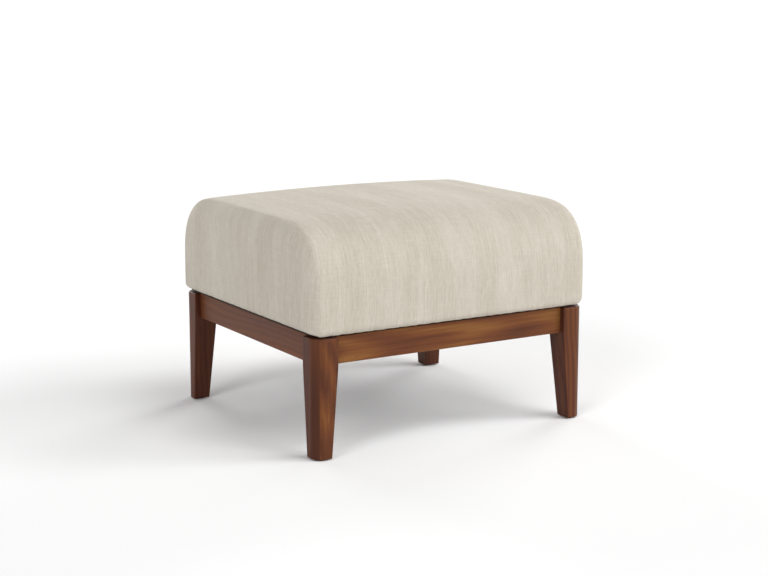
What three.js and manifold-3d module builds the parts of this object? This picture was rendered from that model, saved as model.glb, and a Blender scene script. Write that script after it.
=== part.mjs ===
// A glider ottoman: an upholstered seat that hangs on four swing links inside a low walnut frame.
// Millimetres, +Z up. The origin is on the floor under the middle of the ottoman.
// X runs along the long front, Y from the front (-Y) to the rear, and the seat glides along Y.

import * as THREE from "three";
import { mergeVertices } from "three/addons/utils/BufferGeometryUtils.js";
import Module from "manifold-3d";

const wasm = await Module();
wasm.setup();

// Fits shared by all pieces
const fitGap = 0.3; // left between two pieces that touch
const overrun = 5; // how far a cut runs past the face it opens

// Leg frame
const frameWidth = 628.6;
const frameDepth = 577.4;
const frameHeight = 236;
const legWidth = 50.8;
const legFootWidth = 36.2;
const legCornerRadius = 23.5;
const legFootCornerRadius = 22.5;
const legEdgeRadius = 2.5;
const legEndEasing = 1.5; // bevel round a leg's top and foot
const railHeight = 53.8;
const railThickness = 22;
const railRecess = 12.4; // from a leg's outer face back to the rail's
const railEdgeRadius = 2;
const tenonLength = 17;
const tenonThickness = 10;
const tenonShoulder = 8; // above and below a tenon

// Corner blocks and their bolts
const blockThickness = 22;
const blockHeight = 38;
const blockDrop = 10; // from the top of the rails down to a block
const cornerBoltRadius = 3;
const cornerBoltClearance = 3; // from its tip to the rails' tenons
const cornerBoltHeadAcrossFlats = 10;
const cornerBoltHeadHeight = 4;
const cornerBoltWasherRadius = 8;
const cornerBoltWasherThickness = 1.6;

// Foot glides, nailed into the legs
const footGlideRadius = 12;
const footGlideThickness = 2;
const footGlideEdge = 0.8;
const footNailRadius = 1.6;
const footNailLength = 12;

// Glide: four swing links between two base brackets and two seat brackets
const glideAngle = 26; // degrees each way
const pivotRise = 52; // from the top of the frame up to the links' upper pivots
const linkLength = 90;
const linkThickness = 6;
const linkEndRadius = 14;
const linkWaist = 18;
const plateThickness = 4;
const runningSpace = 5; // between a link and the plate on either side of it
const bearingRadius = 9.5;
const bearingBore = 8.6;
const bearingDish = 0.6; // depth of the dished shields
const pivotRadius = 4;
const pivotHeadRadius = 7;
const pivotHeadThickness = 3.2;
const pivotCollarRadius = 6;
const pivotTailThickness = 3;
const plateScrewRadius = 2.5;
const baseBracketMargin = 8.6; // from the rail's lower edge up to the bracket
const baseBracketEnd = 11; // bracket beyond a bumper's centre
const baseBracketClearance = 14.2; // from a bracket's end to the corner block
const baseEarRadius = 16;
const baseEarFoot = 26; // half width of an ear where it leaves the bar
const seatBracketMargin = 5; // from the mounting rail's lower edge to the bracket's bar
const seatBracketBarHeight = 45;
const seatEarRadius = 15;
const seatEarFoot = 22;

// Stop bumpers
const bumperRadius = 7;
const bumperLength = 10.4;
const bumperTipRadius = 4.5;
const bumperTipTaper = 2;
const bumperStemRadius = 2.5;
const stopClearance = 0.5; // left between a link and its bumper at the end of the travel

// Seat cushion, measured on its fabric
const sideOverhang = 8; // cushion past the legs' outer faces, left and right
const endOverhang = 1.1; // the same at the front and the rear
const seatGap = 3; // dark gap between the leg frame and the seat
const panelHeight = 205.6; // side panel, from the seat's underside to its top
const crownHeight = 12.4;
const waterfallRadius = 144; // front and rear top edges
const edgeRadius = 34; // where the band turns over to a side panel
const panelBulge = 2.5;
const coverThickness = 5; // fabric with its wadding
const hemThickness = 3;

// Seat box
const boardThickness = 18;
const deckClearance = 2.6; // from the base brackets' ears up to the deck
const mountRailThickness = 18;
const deckThickness = 12;
const deckVentRadius = 12;
const deckVentSpacing = 260;
const dustCoverThickness = 1.2;
const dustCoverMargin = 3; // from the mounting rails' outer faces
const innerScrewShare = 1 / 3; // a bracket's inner screws, as a share of the way out to the pivots

// Counts and shares that shape the outlines
const legDivisions = 3;
const railDivisions = 1;
const roundDivisions = 8;
const drillDivisions = 12;
const latheDivisions = 16;
const hexDivisions = 6;
const waterfallExponent = 2.92; // above 2 the corner is fuller than a quarter circle
const arcSteps = 7;
const crownSteps = 3;
const wallSteps = 3;
const sideRingShares = [0, 0.42, 0.76];
const foldAngleShares = [1, 2 / 3, 1 / 3, 0]; // of a quarter turn, from the side panel to the band

// Places worked out from the sizes above
const halfWidth = frameWidth / 2;
const halfDepth = frameDepth / 2;
const railBottom = frameHeight - railHeight;
const railInnerX = halfWidth - railRecess - railThickness;
const railInnerY = halfDepth - railRecess - railThickness;
const legBottom = footGlideThickness + fitGap;
const legInnerX = halfWidth - legWidth;
const legInnerY = halfDepth - legWidth;
const footX = halfWidth - legFootWidth / 2;
const footY = halfDepth - legFootWidth / 2;

// Corner blocks are measured from the meeting point of the two rails' inner faces.
const legProud = legWidth - railRecess - railThickness; // leg inside the rails' inner faces
const blockNear = 2 * legProud + fitGap * Math.SQRT2;
const blockFar = blockNear + blockThickness * Math.SQRT2;
const blockHeightMiddle = frameHeight - blockDrop - blockHeight / 2;
const blockFaceFromCorner = (blockFar + fitGap) * Math.SQRT1_2; // along the diagonal
const tenonFromLegFace = legProud + (railThickness - tenonThickness) / 2;
const cornerBoltBite = (tenonFromLegFace - cornerBoltClearance) * Math.SQRT2 - cornerBoltRadius;
const cornerBoltLength = blockFaceFromCorner - legProud * Math.SQRT2 + cornerBoltBite;

const basePlateX = railInnerX - fitGap; // outer face of a base bracket
const linkX = basePlateX - plateThickness - runningSpace; // outer face of a link
const seatPlateX = linkX - linkThickness - runningSpace; // outer face of a seat bracket
const mountRailX = seatPlateX - plateThickness - fitGap; // outer face of a mounting rail
const upperPivotHeight = frameHeight + pivotRise;
const lowerPivotHeight = upperPivotHeight - linkLength;
const bearingSeatRadius = bearingRadius + fitGap;
const pivotHoleRadius = pivotRadius + fitGap;
const swing = THREE.MathUtils.degToRad(glideAngle);
const bumperOffset = linkEndRadius + bumperRadius + stopClearance;
const baseBracketHalf = railInnerY - blockFar - baseBracketClearance;
const bumperY = baseBracketHalf - baseBracketEnd;
const pivotY = bumperY - linkLength * Math.sin(swing) - bumperOffset * Math.cos(swing);
const bumperHeight = upperPivotHeight - linkLength * Math.cos(swing) + bumperOffset * Math.sin(swing);
const baseBracketBottom = railBottom + baseBracketMargin;

const cushionWidth = frameWidth + 2 * sideOverhang;
const cushionDepth = frameDepth + 2 * endOverhang;
const seatUnderside = frameHeight + seatGap;
const seamHeight = seatUnderside + panelHeight; // top of the side panels
const boardBottom = seatUnderside + hemThickness + fitGap;
const deckBottom = upperPivotHeight + baseEarRadius + deckClearance;
const boardTop = deckBottom - fitGap;
const deckTop = deckBottom + deckThickness;
const foamBottom = deckTop + fitGap;
// A square corner of the seat box just fits inside the rounded corner of the cover.
const boardInset = edgeRadius - (edgeRadius - coverThickness - fitGap) * Math.SQRT1_2;
const boardOuterX = cushionWidth / 2 - boardInset;
const boardOuterY = cushionDepth / 2 - boardInset;
const boardInnerX = boardOuterX - boardThickness;
const boardInnerY = boardOuterY - boardThickness;
const seamX = cushionWidth / 2 - edgeRadius * (1 - Math.SQRT1_2); // halfway round the fold
const seatBarBottom = boardBottom + seatBracketMargin;

// Materials
function finish(color, roughness, metalness = 0) {
  return new THREE.MeshStandardMaterial({ color, roughness, metalness });
}
const walnut = finish(0x70462c, 0.45);
const beech = finish(0xc9a679, 0.65);
const plywood = finish(0xc8aa7c, 0.7);
const steel = finish(0x3b3c3e, 0.45, 0.8);
const zinc = finish(0xa9abad, 0.35, 0.9);
const rubber = finish(0x1d1d1d, 0.85);
const nylon = finish(0x2b241f, 0.6);
const linen = finish(0xd0c8bc, 0.95);
const foam = finish(0xe9e2cf, 0.95);
const felt = finish(0x1f1f20, 0.95);

// Solids
function solidOf(geometry) {
  const plain = geometry.clone();
  plain.deleteAttribute("normal");
  plain.deleteAttribute("uv");
  const merged = mergeVertices(plain);
  return new wasm.Manifold(
    new wasm.Mesh({
      numProp: 3,
      vertProperties: merged.attributes.position.array,
      triVerts: new Uint32Array(merged.index.array),
    }),
  );
}

function geometryOf(solid) {
  const mesh = solid.getMesh();
  const geometry = new THREE.BufferGeometry();
  geometry.setAttribute("position", new THREE.BufferAttribute(mesh.vertProperties, mesh.numProp));
  geometry.setIndex(new THREE.BufferAttribute(mesh.triVerts, 1));
  geometry.computeVertexNormals();
  return geometry;
}

// A box from its lowest to its highest corner.
function boxBetween([x0, y0, z0], [x1, y1, z1]) {
  const box = new THREE.BoxGeometry(x1 - x0, y1 - y0, z1 - z0);
  box.translate((x0 + x1) / 2, (y0 + y1) / 2, (z0 + z1) / 2);
  return box;
}

// A turned piece: its profile holds [distance along the axis, radius] and starts and ends on the axis.
function turned(profile, divisions = latheDivisions) {
  const points = profile.map(([along, radius]) => new THREE.Vector2(radius, along));
  return new THREE.LatheGeometry(points, divisions);
}

function alongZ(geometry) {
  return geometry.rotateX(Math.PI / 2);
}

function alongX(geometry) {
  return geometry.rotateZ(-Math.PI / 2);
}

// A flat plate: its outline is drawn in Y and Z and it is as thick as given along X, from x upwards.
function plateAcrossX(outline, x, thickness, divisions = roundDivisions) {
  const plate = new THREE.ExtrudeGeometry(outline, {
    depth: thickness,
    bevelEnabled: false,
    curveSegments: divisions,
  });
  const turn = new THREE.Matrix4().makeBasis(
    new THREE.Vector3(0, 1, 0),
    new THREE.Vector3(0, 0, 1),
    new THREE.Vector3(1, 0, 0),
  );
  return plate.applyMatrix4(turn).translate(x, 0, 0);
}

function roundHole(y, z, radius) {
  return new THREE.Path().absarc(y, z, radius, 0, 2 * Math.PI, true);
}

// The assembly: pieces are drawn for the rear right corner, and groups mirror them to the others.
const ottoman = new THREE.Group();

function mirrored(side, end) {
  const group = new THREE.Group();
  group.scale.set(side, end, 1);
  ottoman.add(group);
  return group;
}

function place(group, name, shape, material, position = [0, 0, 0]) {
  const geometry = shape instanceof THREE.BufferGeometry ? shape : geometryOf(shape);
  const piece = new THREE.Mesh(geometry, material);
  piece.name = name;
  piece.position.set(...position);
  group.add(piece);
}

// Legs
// The section is drawn inwards from the outer corner, which carries the large round.
function legSection() {
  const section = new THREE.Shape();
  section.moveTo(legCornerRadius, 0);
  section.lineTo(legWidth - legEdgeRadius, 0);
  section.absarc(legWidth - legEdgeRadius, legEdgeRadius, legEdgeRadius, -Math.PI / 2, 0);
  section.absarc(legWidth - legEdgeRadius, legWidth - legEdgeRadius, legEdgeRadius, 0, Math.PI / 2);
  section.absarc(legEdgeRadius, legWidth - legEdgeRadius, legEdgeRadius, Math.PI / 2, Math.PI);
  section.absarc(legCornerRadius, legCornerRadius, legCornerRadius, Math.PI, 1.5 * Math.PI);
  return section;
}

// Below the rails the inner faces close in on the outer corner, and the round tightens a little.
function taperLeg(geometry, length, taperLength) {
  const points = geometry.attributes.position;
  const narrow = (inward, share) => {
    const radius = THREE.MathUtils.lerp(legCornerRadius, legFootCornerRadius, share);
    const width = THREE.MathUtils.lerp(legWidth, legFootWidth, share);
    if (inward <= legCornerRadius) {
      return (inward * radius) / legCornerRadius;
    }
    const pastRound = (inward - legCornerRadius) / (legWidth - legCornerRadius);
    return radius + pastRound * (width - radius);
  };
  for (let i = 0; i < points.count; i += 1) {
    let height = points.getZ(i);
    if (Math.abs(height - length / 2) < fitGap) {
      height = taperLength;
    }
    const share = THREE.MathUtils.clamp(1 - height / taperLength, 0, 1);
    points.setXYZ(i, narrow(points.getX(i), share), narrow(points.getY(i), share), height);
  }
  return geometry;
}

function makeLeg() {
  const length = frameHeight - legBottom;
  const taperLength = railBottom - legBottom;
  const blank = new THREE.ExtrudeGeometry(legSection(), {
    depth: length - 2 * legEndEasing,
    steps: 2,
    curveSegments: legDivisions,
    bevelEnabled: true,
    bevelThickness: legEndEasing,
    bevelSize: legEndEasing,
    bevelOffset: -legEndEasing,
    bevelSegments: 1,
  });
  blank.translate(0, 0, legEndEasing);
  taperLeg(blank, length, taperLength);
  blank.rotateZ(Math.PI);
  blank.translate(halfWidth, halfDepth, legBottom);

  const tenonY = halfDepth - railRecess - railThickness / 2;
  const tenonX = halfWidth - railRecess - railThickness / 2;
  const room = tenonThickness / 2 + fitGap;
  const low = railBottom + tenonShoulder - fitGap;
  const high = frameHeight - tenonShoulder + fitGap;
  const reach = tenonLength + fitGap;
  const mortiseForX = boxBetween(
    [legInnerX - overrun, tenonY - room, low],
    [legInnerX + reach, tenonY + room, high],
  );
  const mortiseForY = boxBetween(
    [tenonX - room, legInnerY - overrun, low],
    [tenonX + room, legInnerY + reach, high],
  );
  const nailHole = alongZ(
    new THREE.CylinderGeometry(
      footNailRadius + fitGap,
      footNailRadius + fitGap,
      2 * (footNailLength + fitGap),
      drillDivisions,
    ),
  ).translate(footX, footY, legBottom - fitGap);
  return solidOf(blank)
    .subtract(solidOf(mortiseForX))
    .subtract(solidOf(mortiseForY))
    .subtract(solidOf(nailHole))
    .subtract(solidOf(cornerDrill()));
}

// Rails
// A rail runs along X in its own frame, centred on the origin, with a tenon at each end.
function makeRail(length) {
  const section = new THREE.Shape();
  const halfThick = railThickness / 2 - railEdgeRadius;
  const halfHigh = railHeight / 2 - railEdgeRadius;
  section.absarc(halfThick, halfHigh, railEdgeRadius, 0, Math.PI / 2);
  section.absarc(-halfThick, halfHigh, railEdgeRadius, Math.PI / 2, Math.PI);
  section.absarc(-halfThick, -halfHigh, railEdgeRadius, Math.PI, 1.5 * Math.PI);
  section.absarc(halfThick, -halfHigh, railEdgeRadius, 1.5 * Math.PI, 2 * Math.PI);
  const bar = plateAcrossX(section, -length / 2, length, railDivisions);
  const tenonHalf = length / 2 + fitGap + tenonLength;
  const tenon = boxBetween(
    [-tenonHalf, -tenonThickness / 2, tenonShoulder - railHeight / 2],
    [tenonHalf, tenonThickness / 2, railHeight / 2 - tenonShoulder],
  );
  return solidOf(bar).add(solidOf(tenon));
}

// Corner blocks
function makeCornerBlock() {
  const plan = new THREE.Shape();
  plan.moveTo(-fitGap, -blockNear);
  plan.lineTo(-fitGap, -blockFar);
  plan.lineTo(-blockFar, -fitGap);
  plan.lineTo(-blockNear, -fitGap);
  const block = new THREE.ExtrudeGeometry(plan, { depth: blockHeight, bevelEnabled: false });
  block.translate(railInnerX, railInnerY, frameHeight - blockDrop - blockHeight);
  return solidOf(block).subtract(solidOf(cornerDrill()));
}

// Turns a piece drawn along Z so that it runs out along the corner's diagonal, from the block's face.
function ontoDiagonal(geometry) {
  const inward = (blockFar + fitGap) / 2;
  geometry.rotateX(-Math.PI / 2);
  geometry.rotateZ(-Math.PI / 4);
  return geometry.translate(railInnerX - inward, railInnerY - inward, blockHeightMiddle);
}

function cornerDrill() {
  const depth = cornerBoltLength + fitGap;
  const drill = alongZ(
    new THREE.CylinderGeometry(
      cornerBoltRadius + fitGap,
      cornerBoltRadius + fitGap,
      depth + overrun,
      drillDivisions,
    ),
  );
  return ontoDiagonal(drill.translate(0, 0, (depth - overrun) / 2));
}

function makeCornerBolt() {
  const washerTop = -fitGap;
  const headBottom = washerTop - cornerBoltWasherThickness;
  const shankStart = headBottom - cornerBoltHeadHeight / 2;
  const shank = alongZ(
    new THREE.CylinderGeometry(
      cornerBoltRadius,
      cornerBoltRadius,
      cornerBoltLength - shankStart,
      drillDivisions,
    ),
  ).translate(0, 0, (cornerBoltLength + shankStart) / 2);
  const washer = alongZ(
    new THREE.CylinderGeometry(
      cornerBoltWasherRadius,
      cornerBoltWasherRadius,
      cornerBoltWasherThickness,
      latheDivisions,
    ),
  ).translate(0, 0, (washerTop + headBottom) / 2);
  const headRadius = cornerBoltHeadAcrossFlats / Math.sqrt(3);
  const head = alongZ(
    new THREE.CylinderGeometry(
      headRadius,
      headRadius,
      cornerBoltHeadHeight + cornerBoltWasherThickness,
      hexDivisions,
    ),
  ).translate(0, 0, (washerTop + headBottom - cornerBoltHeadHeight) / 2);
  return solidOf(ontoDiagonal(shank)).add(solidOf(ontoDiagonal(washer))).add(solidOf(ontoDiagonal(head)));
}

function makeFootGlide() {
  const profile = [
    [0, 0],
    [0, footGlideRadius - footGlideEdge],
    [footGlideEdge, footGlideRadius],
    [footGlideThickness, footGlideRadius],
    [footGlideThickness, footNailRadius],
    [footNailLength, footNailRadius],
    [footNailLength, 0],
  ];
  return alongZ(turned(profile));
}

// Glide
function makeBaseBracket() {
  const barTop = frameHeight;
  const plate = new THREE.Shape();
  plate.moveTo(-baseBracketHalf, baseBracketBottom);
  plate.lineTo(baseBracketHalf, baseBracketBottom);
  plate.lineTo(baseBracketHalf, barTop);
  for (const y of [pivotY, -pivotY]) {
    plate.lineTo(y + baseEarFoot, barTop);
    plate.absarc(y, upperPivotHeight, baseEarRadius, 0, Math.PI);
    plate.lineTo(y - baseEarFoot, barTop);
  }
  plate.lineTo(-baseBracketHalf, barTop);
  const screwHeight = (baseBracketBottom + barTop) / 2;
  for (const end of [-1, 1]) {
    plate.holes.push(roundHole(end * pivotY, upperPivotHeight, pivotHoleRadius));
    plate.holes.push(roundHole(end * bumperY, bumperHeight, bumperStemRadius + fitGap));
    plate.holes.push(roundHole(end * pivotY * innerScrewShare, screwHeight, plateScrewRadius));
    plate.holes.push(roundHole(end * pivotY, screwHeight, plateScrewRadius));
  }
  return plateAcrossX(plate, basePlateX - plateThickness, plateThickness);
}

function makeSeatBracket() {
  const barTop = seatBarBottom + seatBracketBarHeight;
  const half = pivotY + seatEarFoot;
  const plate = new THREE.Shape();
  plate.moveTo(half, barTop);
  plate.lineTo(-half, barTop);
  for (const y of [-pivotY, pivotY]) {
    plate.lineTo(y - seatEarFoot, seatBarBottom);
    plate.absarc(y, lowerPivotHeight, seatEarRadius, Math.PI, 2 * Math.PI);
    plate.lineTo(y + seatEarFoot, seatBarBottom);
  }
  const screwHeight = (seatBarBottom + barTop) / 2;
  for (const end of [-1, 1]) {
    plate.holes.push(roundHole(end * pivotY, lowerPivotHeight, pivotHoleRadius));
    plate.holes.push(roundHole(end * pivotY * innerScrewShare, screwHeight, plateScrewRadius));
    plate.holes.push(roundHole(end * pivotY, screwHeight, plateScrewRadius));
  }
  return plateAcrossX(plate, seatPlateX - plateThickness, plateThickness);
}

// Two round ends joined by a narrower waist
function makeSwingLink() {
  const meet = Math.acos(linkWaist / 2 / linkEndRadius);
  const outline = new THREE.Shape();
  outline.absarc(pivotY, upperPivotHeight, linkEndRadius, -meet, Math.PI + meet);
  outline.absarc(pivotY, lowerPivotHeight, linkEndRadius, Math.PI - meet, 2 * Math.PI + meet);
  outline.holes.push(roundHole(pivotY, upperPivotHeight, bearingSeatRadius));
  outline.holes.push(roundHole(pivotY, lowerPivotHeight, bearingSeatRadius));
  return plateAcrossX(outline, linkX - linkThickness, linkThickness);
}

// A ball bearing with dished shields on both faces
function makeBearing() {
  const inner = bearingBore / 2;
  const shield = (inner + bearingRadius) / 2;
  const profile = [
    [0, inner],
    [bearingDish, shield],
    [0, bearingRadius],
    [linkThickness, bearingRadius],
    [linkThickness - bearingDish, shield],
    [linkThickness, inner],
    [0, inner],
  ];
  return alongX(turned(profile));
}

// A riveted pivot, drawn from its tail: plate, collar in the running space, bearing, head
function makePivotBolt() {
  const collarStart = pivotTailThickness + fitGap + plateThickness + fitGap;
  const collarEnd = collarStart + runningSpace - 2 * fitGap;
  const headStart = collarEnd + fitGap + linkThickness + fitGap;
  const headEnd = headStart + pivotHeadThickness;
  const profile = [
    [0, 0],
    [0, pivotHeadRadius],
    [pivotTailThickness, pivotHeadRadius],
    [pivotTailThickness, pivotRadius],
    [collarStart, pivotRadius],
    [collarStart, pivotCollarRadius],
    [collarEnd, pivotCollarRadius],
    [collarEnd, pivotRadius],
    [headStart, pivotRadius],
    [headStart, pivotHeadRadius],
    [headEnd, pivotHeadRadius],
    [headEnd, 0],
  ];
  return alongX(turned(profile, drillDivisions));
}

function makeBumper() {
  const profile = [
    [0, 0],
    [0, bumperTipRadius],
    [bumperTipTaper, bumperRadius],
    [bumperLength, bumperRadius],
    [bumperLength, bumperStemRadius],
    [bumperLength + fitGap + plateThickness, bumperStemRadius],
    [bumperLength + fitGap + plateThickness, 0],
  ];
  return alongX(turned(profile, drillDivisions));
}

// Cushion shapes
// The outline seen from the side, `inset` inside the full one: points of [y, z], anticlockwise from +X.
function cushionOutline(size, inset) {
  const reach = size.depth / 2 - inset;
  const top = size.top - inset;
  const radius = size.waterfall - inset;
  const half = [];
  half.push([reach / 2, size.bottom]);
  for (let i = 0; i < wallSteps; i += 1) {
    half.push([reach, THREE.MathUtils.lerp(size.bottom, top - radius, i / wallSteps)]);
  }
  for (let i = 0; i <= arcSteps; i += 1) {
    const angle = ((Math.PI / 2) * i) / arcSteps;
    const across = Math.cos(angle) ** (2 / waterfallExponent);
    const up = Math.sin(angle) ** (2 / waterfallExponent);
    half.push([reach - radius + radius * across, top - radius + radius * up]);
  }
  for (let i = 1; i < crownSteps; i += 1) {
    half.push([(reach - radius) * (1 - i / crownSteps), top]);
  }
  const other = half.map(([y, z]) => [-y, z]).reverse();
  return [[0, size.bottom], ...half, [0, top], ...other];
}

// Moves a point of the outline out by the crown and by the stuffing's bulge.
function plump(size, x, y, z, inset) {
  const reach = size.depth / 2 - inset;
  const top = size.top - inset;
  const radius = size.waterfall - inset;
  const across = 1 - ((2 * x) / size.width) ** 2;
  const along = Math.max(0, 1 - (y / reach) ** 2);
  const lift = z > top - radius ? size.crown * across * along : 0;
  const height = THREE.MathUtils.clamp((z + lift - size.bottom) / (size.top - size.bottom), 0, 1);
  const swell = size.bulge * Math.sin(Math.PI * height);
  const outY = swell * Math.sqrt(Math.max(0, across)) * Math.min(1, Math.abs(y) / reach) ** 4;
  const outX = swell * Math.sqrt(along) * ((2 * Math.abs(x)) / size.width) ** 8;
  return [x + Math.sign(x) * outX, y + Math.sign(y) * outY, z + lift];
}

// Stations from the middle of one side panel, round the fold and over the band to the other side.
// Each has its place along X, its inset, and its size as a share of the full outline.
function cushionStations(size) {
  const half = size.width / 2;
  const sideRings = sideRingShares.map((share) => ({ x: half, inset: size.edge, share }));
  const fold = foldAngleShares.map((angleShare) => {
    const angle = (angleShare * Math.PI) / 2;
    return {
      x: half - size.edge + size.edge * Math.sin(angle),
      inset: size.edge * (1 - Math.cos(angle)),
      share: 1,
    };
  });
  const band = [];
  for (let i = 1; i <= crownSteps; i += 1) {
    band.push({ x: (half - size.edge) * (1 - i / (crownSteps + 1)), inset: 0, share: 1 });
  }
  const right = [...sideRings, ...fold, ...band].reverse();
  const left = right.map((station) => ({ ...station, x: -station.x })).reverse();
  return [...left, { x: 0, inset: 0, share: 1 }, ...right];
}

// A lathe whose rings follow the cushion's outline instead of circles.
function cushionForm(size) {
  const stations = cushionStations(size);
  const rings = cushionOutline(size, 0).length;
  const geometry = new THREE.LatheGeometry(
    stations.map((station) => new THREE.Vector2(station.share, station.x)),
    rings,
  );
  const points = geometry.attributes.position;
  const middle = (size.bottom + size.top) / 2;
  stations.forEach((station, j) => {
    const outline = cushionOutline(size, station.inset);
    for (let i = 0; i <= rings; i += 1) {
      const [y, z] = outline[i % rings];
      const ringY = y * station.share;
      const ringZ = middle + (z - middle) * station.share;
      const point = plump(size, station.x, ringY, ringZ, station.inset);
      points.setXYZ(i * stations.length + j, ...point);
    }
  });
  return geometry;
}

const cushionSize = {
  width: cushionWidth,
  depth: cushionDepth,
  bottom: seatUnderside,
  top: seamHeight,
  crown: crownHeight,
  waterfall: waterfallRadius,
  edge: edgeRadius,
  bulge: panelBulge,
};

// The space inside the cover, above the seat box.
function foamShape(inset, bottom) {
  const whole = cushionForm({
    width: cushionWidth - 2 * inset,
    depth: cushionDepth - 2 * inset,
    bottom: seatUnderside,
    top: seamHeight - inset,
    crown: crownHeight,
    waterfall: waterfallRadius - inset,
    edge: edgeRadius - inset,
    bulge: 0,
  });
  const above = boxBetween(
    [-cushionWidth / 2, -cushionDepth / 2, bottom],
    [cushionWidth / 2, cushionDepth / 2, seamHeight + crownHeight],
  );
  return solidOf(whole).intersect(solidOf(above));
}

// The cover is the cushion's skin: its hem turns in under the seat boards.
function makeCover() {
  const outer = solidOf(cushionForm(cushionSize));
  const foamRoom = foamShape(coverThickness, deckTop);
  const boxRoom = solidOf(
    boxBetween(
      [-boardOuterX - fitGap, -boardOuterY - fitGap, seatUnderside + hemThickness],
      [boardOuterX + fitGap, boardOuterY + fitGap, foamBottom],
    ),
  );
  const opening = solidOf(
    boxBetween(
      [-boardInnerX, -boardInnerY, seatUnderside - overrun],
      [boardInnerX, boardInnerY, boardBottom],
    ),
  );
  return outer.subtract(foamRoom).subtract(boxRoom).subtract(opening);
}

// The part of the cover beyond a side seam, with the wadding beside the board and the hem under it.
function sidePanelRoom() {
  const seam = seamX + fitGap / 2;
  const past = cushionWidth / 2 + panelBulge + overrun;
  const reach = cushionDepth / 2 + panelBulge + overrun;
  const panel = boxBetween(
    [seam, -reach, seatUnderside - overrun],
    [past, reach, seamHeight + crownHeight + overrun],
  );
  const hem = boxBetween(
    [boardInnerX - overrun, fitGap - boardInnerY, seatUnderside - overrun],
    [past, boardInnerY - fitGap, boardBottom + fitGap],
  );
  const wadding = boxBetween([boardOuterX, -boardOuterY, boardBottom], [past, boardOuterY, deckTop]);
  return solidOf(panel).add(solidOf(hem)).add(solidOf(wadding));
}

function bandRoom() {
  const seam = seamX - fitGap / 2;
  const reach = cushionDepth / 2 + panelBulge + overrun;
  const band = boxBetween(
    [-seam, -reach, seatUnderside - overrun],
    [seam, reach, seamHeight + crownHeight + overrun],
  );
  const sideHems = boxBetween(
    [-seam - overrun, -boardInnerY, seatUnderside - overrun],
    [seam + overrun, boardInnerY, boardBottom],
  );
  const sideWadding = boxBetween(
    [-seam - overrun, -boardOuterY - fitGap, seatUnderside + hemThickness],
    [seam + overrun, boardOuterY + fitGap, foamBottom],
  );
  return solidOf(band).subtract(solidOf(sideHems)).subtract(solidOf(sideWadding));
}

function makeDeck() {
  const plan = new THREE.Shape();
  plan.moveTo(-boardOuterX, -boardOuterY);
  plan.lineTo(boardOuterX, -boardOuterY);
  plan.lineTo(boardOuterX, boardOuterY);
  plan.lineTo(-boardOuterX, boardOuterY);
  for (const x of [-1, 1]) {
    for (const y of [-1, 1]) {
      plan.holes.push(
        roundHole((x * deckVentSpacing) / 2, (y * deckVentSpacing) / 2, deckVentRadius),
      );
    }
  }
  const deck = new THREE.ExtrudeGeometry(plan, {
    depth: deckThickness,
    bevelEnabled: false,
    curveSegments: roundDivisions,
  });
  return deck.translate(0, 0, deckBottom);
}

// Placing the pieces of each corner
const corners = [
  { name: "front_left", side: -1, end: -1 },
  { name: "front_right", side: 1, end: -1 },
  { name: "rear_left", side: -1, end: 1 },
  { name: "rear_right", side: 1, end: 1 },
];
const leg = makeLeg();
const cornerBlock = makeCornerBlock();
const cornerBolt = makeCornerBolt();
const upperTail = basePlateX + fitGap + pivotTailThickness;
const lowerTail = seatPlateX - plateThickness - fitGap - pivotTailThickness;
const bumperTip = basePlateX - plateThickness - fitGap - bumperLength;

for (const { name, side, end } of corners) {
  const corner = mirrored(side, end);
  place(corner, `leg_${name}`, leg, walnut);
  place(corner, `corner_block_${name}`, cornerBlock, beech);
  place(corner, `corner_bolt_${name}`, cornerBolt, zinc);
  place(corner, `foot_glide_${name}`, makeFootGlide(), nylon, [footX, footY, 0]);
  const upperBolt = makePivotBolt().rotateZ(Math.PI);
  place(corner, `upper_pivot_bolt_${name}`, upperBolt, zinc, [upperTail, pivotY, upperPivotHeight]);
  place(corner, `stop_bumper_${name}`, makeBumper(), rubber, [bumperTip, bumperY, bumperHeight]);
  place(corner, `swing_link_${name}`, makeSwingLink(), steel);
  const bearingX = linkX - linkThickness;
  place(corner, `upper_bearing_${name}`, makeBearing(), zinc, [bearingX, pivotY, upperPivotHeight]);
  place(corner, `lower_bearing_${name}`, makeBearing(), zinc, [bearingX, pivotY, lowerPivotHeight]);
  place(corner, `lower_pivot_bolt_${name}`, makePivotBolt(), zinc, [
    lowerTail,
    pivotY,
    lowerPivotHeight,
  ]);
}

// Placing the pieces of each side
const railMiddle = railBottom + railHeight / 2;
const cover = makeCover();
const sidePanel = cover.intersect(sidePanelRoom());
for (const [name, side] of [
  ["left", -1],
  ["right", 1],
]) {
  const group = mirrored(side, 1);
  const rail = geometryOf(makeRail(2 * (legInnerY - fitGap))).rotateZ(Math.PI / 2);
  place(group, `rail_${name}`, rail, walnut, [railInnerX + railThickness / 2, 0, railMiddle]);
  place(group, `glide_base_bracket_${name}`, makeBaseBracket(), steel);
  place(group, `glide_seat_bracket_${name}`, makeSeatBracket(), steel);
  const board = boxBetween(
    [boardInnerX, -boardOuterY, boardBottom],
    [boardOuterX, boardOuterY, boardTop],
  );
  place(group, `seat_board_${name}`, board, beech);
  const mountRailReach = boardInnerY - fitGap;
  const mountRail = boxBetween(
    [mountRailX - mountRailThickness, -mountRailReach, boardBottom],
    [mountRailX, mountRailReach, boardTop],
  );
  place(group, `glide_mount_rail_${name}`, mountRail, beech);
  place(group, `cover_side_${name}`, sidePanel, linen);
}

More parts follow.
